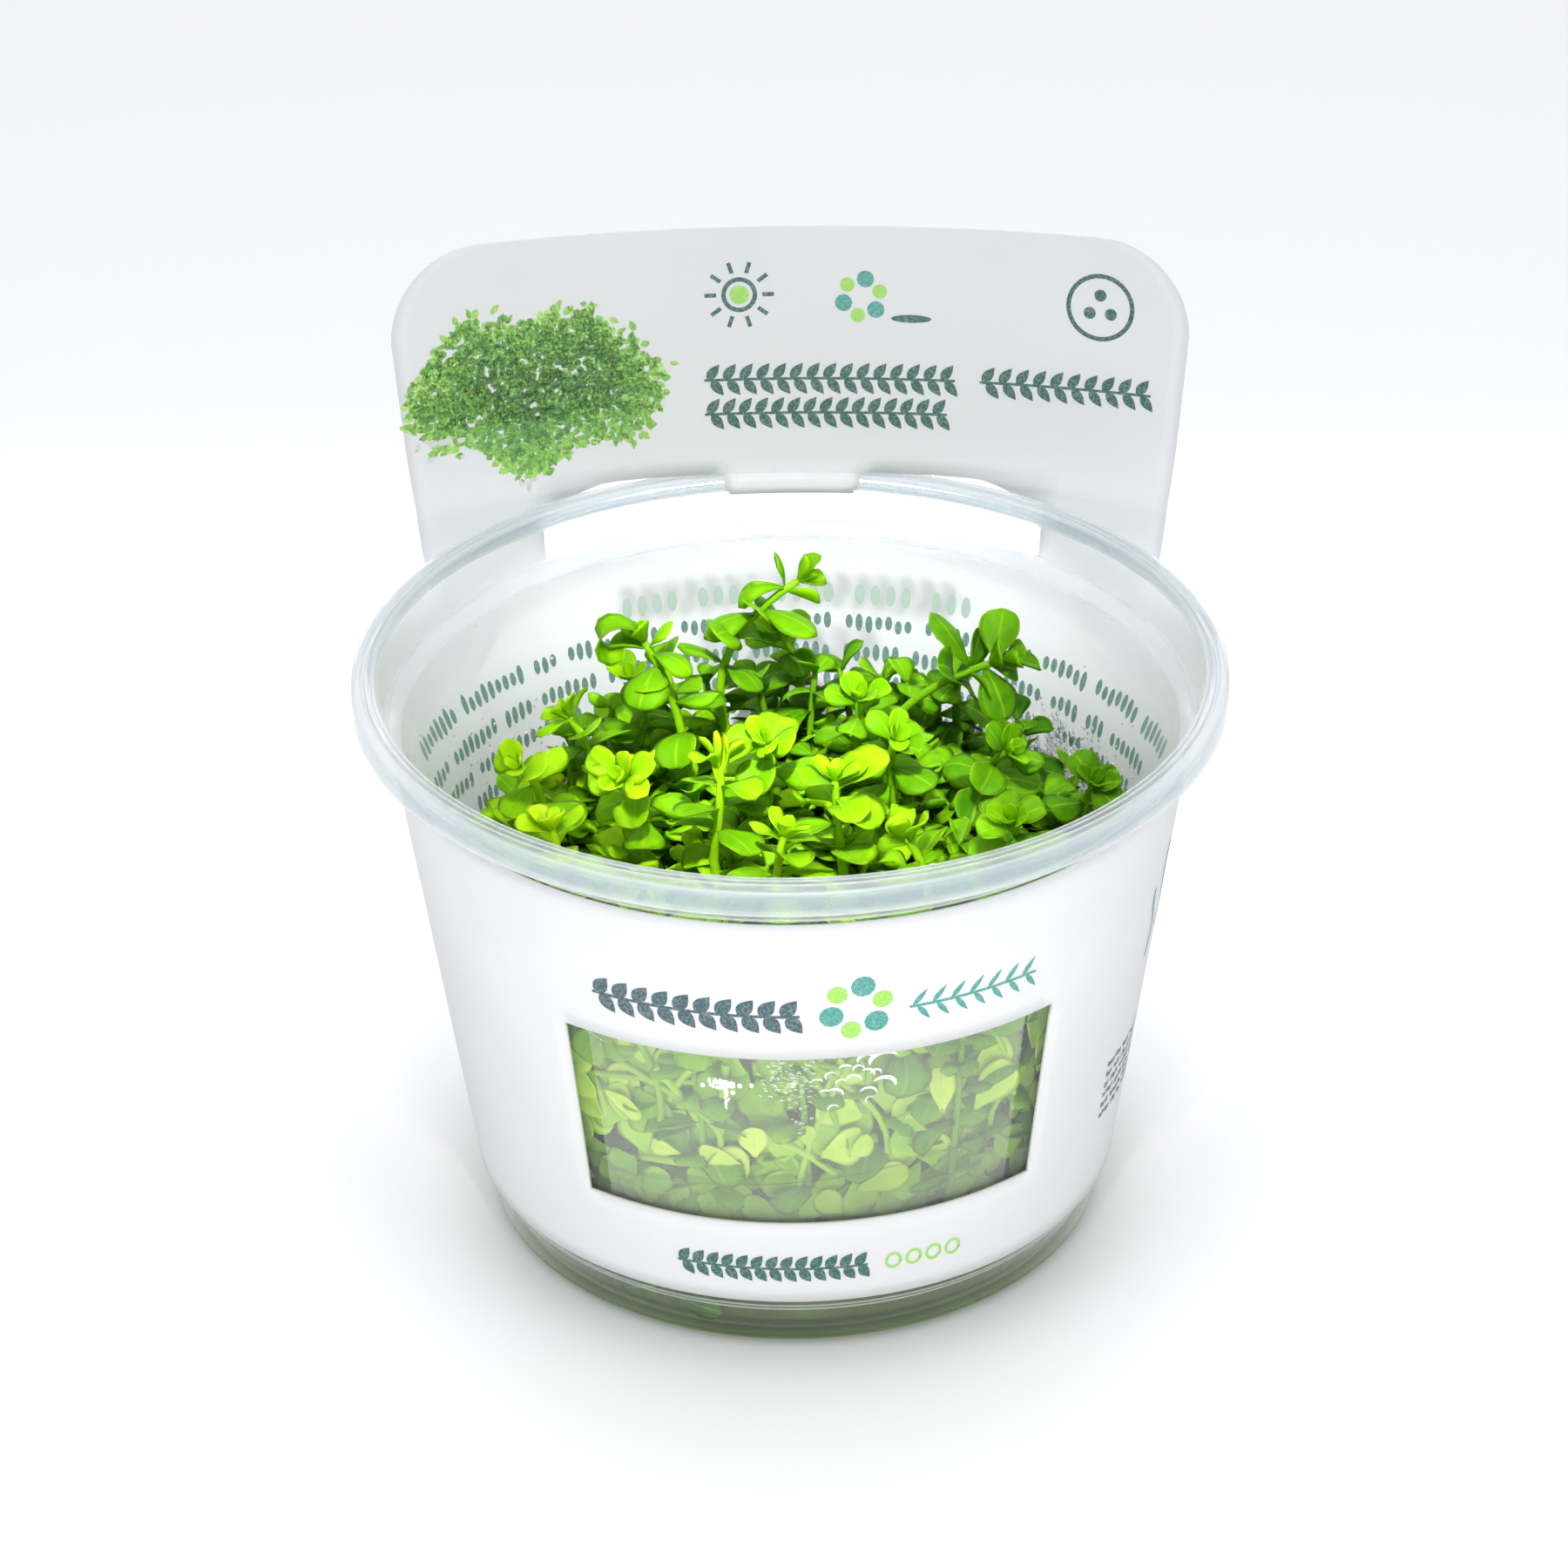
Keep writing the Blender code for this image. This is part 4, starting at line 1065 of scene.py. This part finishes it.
class LeafMass:
    """Collects many blades and stems as arrays, and turns them into one mesh."""

    def __init__(self):
        self.points = []
        self.quads = []
        self.tints = []
        self.marks = []
        self.count = 0

    def add(self, points, quads, tints, marks):
        self.points.append(points)
        self.quads.append(quads + self.count)
        self.tints.append(tints)
        self.marks.append(marks)
        self.count += len(points)

    def make(self, name, finish, replaced=(), slot="leaf", keep_in=True):
        points = np.concatenate(self.points)
        quads = np.concatenate(self.quads)
        tints = np.concatenate(self.tints).astype(np.float32)
        if keep_in:
            points = held_in_cup(points)
        mesh = new_mesh(name, (points * MM).tolist(), quads.tolist(), finish, tints)
        blade = mesh.uv_layers.new(name="blade")
        marks = np.concatenate(self.marks)[quads.ravel()]
        blade.data.foreach_set("uv", marks.astype(np.float32).ravel())
        mesh.shade_smooth()
        finish_piece(add_object(name, mesh), replaced)


def held_in_cup(points):
    """Presses what would go through the cup's wall flat against its inside."""
    radius = np.hypot(points[:, 0], points[:, 1])
    most = np.where(points[:, 2] < LEDGE_HEIGHT, inner_radius(points[:, 2]), RIM_INNER_RADIUS - 1.2) - 0.1
    over = np.maximum(0, radius - most)
    held = np.where(over > 0, most - 0.25 * over / (1 + over), radius)
    scale = np.where(radius > 1e-6, held / np.maximum(radius, 1e-6), 1.0)
    return np.column_stack((points[:, 0] * scale, points[:, 1] * scale, points[:, 2]))


def blade_faces(rows, columns):
    """Quads of a closed blade: a top grid, and an under side that shares its edge."""
    top = np.arange((rows + 1) * (columns + 1)).reshape(rows + 1, columns + 1)
    under = top.copy()
    inside = (rows - 1) * (columns - 1)
    under[1:-1, 1:-1] = top.size + np.arange(inside).reshape(rows - 1, columns - 1)
    upper = np.stack((top[:-1, :-1], top[1:, :-1], top[1:, 1:], top[:-1, 1:]), axis=-1).reshape(-1, 4)
    lower = np.stack((under[:-1, :-1], under[:-1, 1:], under[1:, 1:], under[1:, :-1]), axis=-1).reshape(-1, 4)
    return np.concatenate((upper, lower))


BLADE_QUADS = {size: blade_faces(*size) for size in (FINE_BLADE, PLAIN_BLADE)}


def add_blade(mass, base, ways, length, width, tint, rng, fine=True, cup=None, droop=None):
    """One leaf: a narrow foot, a round end, cupped edges and a bent tip. Its ways are outward and upward."""
    base, out, up = (np.array(vector) for vector in (base, *ways))
    rows, columns = FINE_BLADE if fine else PLAIN_BLADE
    cup = rng.choice((-0.9, -0.5, 0.3, 0.6, 0.9)) * rng.uniform(0.6, 1.1) if cup is None else cup
    droop = rng.uniform(0.2, 1.6) if droop is None else droop
    along = np.linspace(0, 1, rows + 1) ** 0.9
    widest, foot, thick = 0.62, 0.1, 0.24
    ratio = np.clip((along - widest) / (1 - widest), 0, 1)
    early = np.clip(along / widest, 0, 1)
    growing = foot + (1 - foot) * np.sin(early * math.pi / 2) ** 1.5
    form = np.where(along > widest, np.sqrt(np.maximum(0, 1 - ratio ** 2.2)), growing)
    form[[0, -1]] = foot
    half = width / 2 * form
    bend = -droop * along ** 1.6
    step = np.diff(along, prepend=0) * length
    spine_x = np.cumsum(np.cos(bend) * step)
    spine_z = np.cumsum(np.sin(bend) * step)
    aside = np.linspace(-1, 1, columns + 1)
    lean = rng.uniform(-0.25, 0.25)
    across = np.outer(half, np.sin(cup * aside) / cup)
    lift = np.outer(half, (1 - np.cos(cup * aside)) / cup)
    waves = np.sin(along * 7 + rng.uniform(0, 6)) * 0.12 * half / width * 2
    lift += np.outer(waves, aside ** 2) * rng.uniform(0, 1.6)
    lift += np.outer(half * lean * along, aside)
    lift -= np.outer(0.10 * np.sin(along * math.pi), np.exp(-(aside * 3) ** 2))
    normal = np.stack((-np.sin(bend), 0 * bend, np.cos(bend)), axis=-1)[:, None, :]
    x = spine_x[:, None] + lift * normal[..., 0]
    z = spine_z[:, None] + lift * normal[..., 2]
    top = np.stack((x, across, z), axis=-1)
    under = top[1:-1, 1:-1] - thick * normal[1:-1]
    local = np.concatenate((top.reshape(-1, 3), under.reshape(-1, 3)))
    side = np.cross(up, out)
    side /= np.linalg.norm(side)
    rise = np.cross(out, side)
    points = base + local[:, :1] * out + local[:, 1:2] * side + local[:, 2:] * rise
    mark_top = np.stack(np.meshgrid(along, aside, indexing="ij"), axis=-1)
    marks = np.concatenate((mark_top.reshape(-1, 2), mark_top[1:-1, 1:-1].reshape(-1, 2)))
    tints = tint + 0.1 * (marks[:, 0] - 0.5) + 0.05 * np.abs(marks[:, 1])
    mass.add(points, BLADE_QUADS[rows, columns], tints, marks)


def add_stem(mass, route, radius_low, radius_high, tint, sides=7):
    """A round stem along a route of points, closed at both ends."""
    route = np.asarray(route, dtype=float)
    count = len(route)
    ahead = np.gradient(route, axis=0)
    ahead /= np.linalg.norm(ahead, axis=1)[:, None]
    reference = np.array((0.31, 0.95, 0.05))
    first = np.cross(ahead, reference)
    first /= np.linalg.norm(first, axis=1)[:, None]
    second = np.cross(ahead, first)
    radius = np.linspace(radius_low, radius_high, count)
    turns = np.arange(sides) * math.tau / sides
    across, upward = np.cos(turns)[None, :, None], np.sin(turns)[None, :, None]
    ring = first[:, None, :] * across + second[:, None, :] * upward
    points = route[:, None, :] + ring * radius[:, None, None]
    points = np.concatenate((points, route[-1:, None, :] + ring[-1:] * 0.05 + ahead[-1] * 0.3))
    _, quads = tube_faces(count + 1, sides)
    total = (count + 1) * sides
    marks = np.column_stack((np.zeros(total), np.full(total, 0.06)))
    mass.add(points.reshape(-1, 3), quads, np.full(total, tint), marks)


def height_on(x, y, spread=0.0):
    """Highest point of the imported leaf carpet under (x, y) and within spread of it."""
    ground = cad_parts["leaf_carpet"]
    heights = []
    for side, back in ((0, 0), (-spread, -spread), (-spread, spread), (spread, -spread), (spread, spread)):
        start = Vector((x + side, y + back, 2 * CUP_HEIGHT)) * MM
        found, place, _, _ = ground.ray_cast(start, Vector((0, 0, -1)))
        heights.append(place.z / MM if found else 0.0)
    return max(heights)


def bent(low, knee, high):
    """A smooth route from low to high that a knee bends, as a function of the place along it."""
    return lambda along: low.lerp(knee, along).lerp(knee.lerp(high, along), along)


def stem_curve(foot, tip, lean):
    low = Vector((foot[0], foot[1], height_on(*foot, STEM_RADIUS) + GAP))
    high = Vector(tip)
    return bent(low, Vector((low.x + lean[0], low.y + lean[1], low.z + 0.62 * (high.z - low.z))), high)


def way_along(point, along):
    """The direction of a stem at a place along it."""
    return (point(min(1, along + 0.05)) - point(along - 0.05)).normalized()


def leaf_ways(ahead, turn, climb, start=None):
    """A leaf's outward and upward ways on a stem that runs ahead, with its turn and climb in degrees."""
    if start is None:
        start = ahead.orthogonal().normalized()
    flat = Matrix.Rotation(math.radians(turn), 3, ahead) @ start
    slope = math.radians(climb)
    return flat * math.cos(slope) + ahead * math.sin(slope), ahead * math.cos(slope) - flat * math.sin(slope)


def leaf_places(point, pairs, first_turn, lowest):
    """Where each leaf of a stem sits: base, ways, size and how young it is."""
    for pair in range(pairs + 1):
        along = lowest + (0.94 - lowest) * pair / pairs
        young = along ** 3
        for side in (0, 180):
            vary = noise.noise(Vector((first_turn + side, pair * 2.3, 1.7)))
            turn = first_turn + 90 * pair + side + 14 * vary
            ways = leaf_ways(way_along(point, along), turn, 12 + 38 * young + 10 * vary)
            yield point(along) + 0.12 * ways[0], ways, 1 - 0.35 * young + 0.12 * vary, young


def painted_light_by_place(x, y):
    """The leaves' tint by place, as painted light and shade: brighter at the front and the left, darker at
    the back and the right.
    """
    front = smooth_step((12 - y) / 42)
    return 0.48 + 0.22 * front - 0.21 * smooth_step((x - 4) / 26) + 0.09 * smooth_step((-5 - x) / 20)


def add_tip(mass, rng, point, first_turn, tint, size, pairs):
    """The small new leaves that close the end of a stem."""
    ahead = (point(1) - point(0.93)).normalized()
    for pair in range(pairs):
        age = pair + 3 - pairs
        for side in (0, 180):
            ways = leaf_ways(ahead, first_turn + 45 + 90 * pair + side, (30, 52, 72)[age])
            length = LEAF_LENGTH * size * 0.72 ** age
            add_blade(mass, point(1), ways, length, length * rng.uniform(0.6, 0.85), tint, rng,
                      cup=rng.uniform(0.4, 0.8), droop=rng.uniform(0.0, 0.7))


def make_sprigs(finish):
    for number, (name, (foot, tip, lean, pairs, first_turn)) in enumerate(SPRIGS.items()):
        rng = random.Random(SEED + number)
        mass = LeafMass()
        point = stem_curve(foot, tip, lean)
        below = point(0)
        root = Vector((below.x + rng.uniform(-2, 2), below.y + rng.uniform(-2, 2), below.z - 12))
        route = [root.lerp(below, step / 4) for step in range(4)] + [point(step / 12) for step in range(13)]
        tint = painted_light_by_place(tip[0], tip[1]) + rng.uniform(-0.03, 0.08)
        add_stem(mass, route, 0.66, 0.45, tint + 0.15)
        lowest, shown = (0.76, 2) if name == "sprig_arching" else (0.3, pairs)
        for base, ways, size, young in leaf_places(point, shown, first_turn, lowest):
            add_blade(mass, base, ways, LEAF_LENGTH * size, LEAF_WIDTH * size,
                      tint + 0.12 * (young - 0.5) + rng.uniform(-0.08, 0.08), rng)
        add_tip(mass, rng, point, first_turn, tint + 0.12, 0.8, 3 if name == "sprig_rosette" else 2)
        for along, turn, climb, length, width, cup, droop, lighter in SPECIAL_LEAVES.get(name, ()):
            ways = leaf_ways(Vector((0, 0, 1)), turn, climb, Vector((1, 0, 0)))
            add_blade(mass, point(along), ways, length, width, tint + lighter, rng, cup=cup, droop=droop)
        mass.make(name + "_leafy", finish, [name])


def shoot(mass, rng, low, high, shade, spread=1.0, lowest=0.4, pairs=3):
    """One small shoot of the carpet, with leaves in pairs from the lowest place along it up."""
    knee = low.lerp(high, 0.55) + Vector((rng.uniform(-spread, spread), rng.uniform(-spread, spread), 0))
    point = bent(low, knee, high)
    add_stem(mass, [point(step / 8) for step in range(9)], 0.55, 0.38, shade + 0.1, sides=5)
    first_turn = rng.uniform(0, 360)
    for pair in range(pairs + 1):
        along = lowest + (0.99 - lowest) * pair / pairs
        young = along ** 4
        for side in (0, 180):
            turn = first_turn + 90 * pair + side + rng.uniform(-20, 20)
            ways = leaf_ways(way_along(point, along), turn, 5 + 40 * young + rng.uniform(-18, 18))
            size = (1.0 - 0.35 * young) * rng.uniform(0.75, 1.1)
            add_blade(mass, point(along), ways, LEAF_LENGTH * size, LEAF_WIDTH * size,
                      shade + 0.14 * young + rng.uniform(-0.08, 0.08), rng, fine=False)


def spread_out(count, reach, start, rng):
    """Evenly spread places in a circle, by the golden angle."""
    golden = math.pi * (3 - math.sqrt(5))
    for number in range(count):
        radius = reach * math.sqrt((number + 0.5) / count)
        angle = start + golden * number + rng.uniform(-0.2, 0.2)
        yield radius * math.sin(angle), radius * math.cos(angle)


def carpet_shoots():
    rng = random.Random(SEED)
    mass = LeafMass()
    for x, y in spread_out(CARPET_SHOOTS, inner_radius(GEL_HEIGHT) - 2.0, 0.0, rng):
        outward = 1 + 0.003 * math.hypot(x, y)
        high = Vector((x * outward + rng.uniform(-2, 2), y * outward + rng.uniform(-2, 2), 0))
        high *= min(1.0, SHOOT_REACH / high.length)
        high.z = height_on(high.x, high.y) + rng.uniform(-4.5, -1)
        pairs = max(3, round((high.z - SHOOT_FOOT) / 5))
        # The shoots under the canopy are painted darker: painted shade.
        shade = painted_light_by_place(x, y) - rng.uniform(0.05, 0.2)
        shoot(mass, rng, Vector((x, y, SHOOT_FOOT)), high, shade, spread=2.5, lowest=0.16, pairs=pairs)
    return mass


def canopy_tips():
    """The leafy tips that close the carpet's top."""
    rng = random.Random(SEED + 10)
    mass = LeafMass()
    for x, y in spread_out(CANOPY_TIPS, inner_radius(46) - 3.0, 1.2, rng):
        high = Vector((x, y, height_on(x, y) + rng.uniform(-2.2, 0.8)))
        low = high - Vector((rng.uniform(-4, 4), rng.uniform(-4, 4), TIP_LENGTH))
        shoot(mass, rng, low, high, painted_light_by_place(x, y) + rng.uniform(-0.1, 0.08))
    for x, y, z in BACK_TIPS:
        low = Vector((x + rng.uniform(-3, 3), y + rng.uniform(-3, 3), z - BACK_TIP_LENGTH))
        # The tall tips at the back are painted darker still: painted shade.
        shoot(mass, rng, low, Vector((x, y, z)), painted_light_by_place(x, y) - rng.uniform(0.02, 0.12))
    return mass


def make_carpet(finish):
    """Both parts of the carpet. They are grown first, because the solid they stand for is gone afterwards."""
    grown = (("leafy_carpet", carpet_shoots()), ("carpet_canopy", canopy_tips()))
    for name, mass in grown:
        mass.make(name, finish, ["leaf_carpet"])


def wall_spot(degrees, height, depth):
    """A point depth mm inside the cup's wall, so many degrees round from the front."""
    return round_front(inner_radius(height) - depth, math.radians(degrees), height)


def wall_leaf(mass, rng, degrees, height, depth, length, width, turn, tint):
    """A leaf that lies along the wall, with its middle at the given place."""
    middle = wall_spot(degrees, height, depth)
    outward = Vector((middle.x, middle.y, 0)).normalized()
    across = Vector((0, 0, 1)).cross(outward)
    flat = math.cos(math.radians(turn)) * across + math.sin(math.radians(turn)) * Vector((0, 0, 1))
    out = (flat + outward * rng.uniform(-0.15, 0.05)).normalized()
    up = (outward - outward.dot(out) * out).normalized()
    add_blade(mass, middle - out * length / 2, (out, up), length, width, tint, rng,
              cup=rng.uniform(0.1, 0.45), droop=rng.uniform(-0.3, 0.4))


def even_spot(rng, number, count, left, wide, low, tall):
    """Where the leaf of this number sits, of count in a stretch of the wall, in degrees and mm up."""
    return left + wide * (number * GOLDEN_SHARE % 1), low + tall * (number + rng.random()) / count


def wall_stem(mass, spots, radius, tint):
    """A stem that creeps along the wall through (degrees, height) spots."""
    spots = np.array(spots, dtype=float)
    along = np.linspace(0, 1, 13)
    knots = np.linspace(0, 1, len(spots))
    rounded = np.polyfit(knots, spots, min(2, len(spots) - 1))
    route = [wall_spot(*np.polyval(rounded, step), 1.6 + 0.8 * step) for step in along]
    add_stem(mass, route, radius, radius * 0.8, tint)


def make_window_leaves(finish):
    """The leaves and stems that press against the wall behind the window."""
    rng = random.Random(SEED + 60)
    mass = LeafMass()
    for leaf in WINDOW_LEAVES:
        wall_leaf(mass, rng, *leaf)
    for stem in WINDOW_STEMS:
        wall_stem(mass, stem, 0.5, 0.8)
    for number in range(WALL_RUNNERS):
        degrees = -47 + 98 * (number + rng.random()) / WALL_RUNNERS
        low = (degrees, rng.uniform(22, 32))
        high = (degrees + rng.choice((-1, 1)) * rng.uniform(8, 26), rng.uniform(36, 48))
        middle = (low[0] + rng.uniform(-3, 5), (low[1] + high[1]) / 2)
        wall_stem(mass, (low, middle, high), 0.42, rng.uniform(0.55, 0.8))
    for number in range(WALL_LEAVES):
        degrees, height = even_spot(rng, number, WALL_LEAVES, left=-48, wide=100, low=25, tall=23)
        wall_leaf(mass, rng, degrees + rng.uniform(-3, 3), height, rng.uniform(1.4, 4.5), rng.uniform(5, 7),
                  rng.uniform(4.6, 6.4), rng.uniform(0, 360), rng.choice((0.45, 0.55, 0.62, 0.72, 0.85)))
    mass.make("window_leaves", finish, ["leaf_carpet"])


def make_gel_leaves(finish):
    """Leaves and roots that are sunk in the gel near the wall."""
    rng = random.Random(SEED + 80)
    mass = LeafMass()
    for degrees, height, depth, *form in SUNK_LEAVES:
        wall_leaf(mass, rng, degrees, height, depth + 0.3, *form)
    for number in range(GEL_LEAVES):
        degrees, height = even_spot(rng, number, GEL_LEAVES, left=-46, wide=96, low=16.5, tall=7.0)
        wall_leaf(mass, rng, degrees, height, rng.uniform(0.8, 2.6), rng.uniform(3.6, 6),
                  rng.uniform(3.2, 5.2), rng.uniform(0, 360), rng.choice((0.5, 0.62, 0.75)))
    for number in range(FOOT_LEAVES):
        degrees = 360 * (number + rng.random()) / FOOT_LEAVES
        if abs(degrees - 360 * round(degrees / 360)) < 50 and number % 2:    # fewer at the front
            continue
        wall_leaf(mass, rng, degrees, rng.uniform(3.6, 7.0), rng.uniform(2.0, 3.5), rng.uniform(3.5, 6),
                  rng.uniform(3, 4.6), rng.uniform(0, 360), rng.uniform(0.3, 0.6))
    for number in range(ROOTS):
        degrees = 360 * (number + rng.random()) / ROOTS
        low = (degrees, rng.uniform(1.8, 3.5))
        high = (degrees + rng.uniform(-6, 6), rng.uniform(8, 14))
        middle = ((low[0] + high[0]) / 2 + rng.uniform(-2, 2), (low[1] + high[1]) / 2)
        wall_stem(mass, (low, middle, high), rng.uniform(0.1, 0.2), rng.uniform(0.1, 0.5))
    mass.make("gel_leaves_and_roots", finish)


def make_gel():
    foot = wall_radius(3) - WALL - GAP - COLLAR_STEP
    edge = inner_radius(GEL_HEIGHT)
    shape = turned([(0, FLOOR + GAP), (foot - 1.5, FLOOR + GAP), (foot, INSIDE_FOOT), (edge, GEL_HEIGHT),
                    (edge * 0.985, GEL_HEIGHT - 0.5), (0, GEL_HEIGHT - 0.6)])
    for vert in shape.verts:
        if vert.co.z > GEL_HEIGHT - 1:
            height = vert.co.z + GEL_TILT * vert.co.x
            if vert.co.xy.length > 1:
                outward = inner_radius(height) / inner_radius(vert.co.z)
                vert.co = (vert.co.x * outward, vert.co.y * outward, height)
    finish_piece(link_bmesh("clear_gel", shape, [gel_material()]), ["nutrient_gel"])


add_camera()
add_studio()
leaf_finish = leaf_material("leaf", LEAF_GREENS)
# The leaves behind the wall and in the gel get the lighter copy of the greens: painted light.
painted_lit_leaf_finish = leaf_material("leaf behind the wall, painted lighter", PAINTED_LIT_GREENS)
make_cup()
make_sleeve()
make_prints()
make_drops()
make_haze_and_reflection()
make_gel()
make_sprigs(leaf_finish)
make_carpet(leaf_finish)
make_window_leaves(painted_lit_leaf_finish)
make_gel_leaves(painted_lit_leaf_finish)
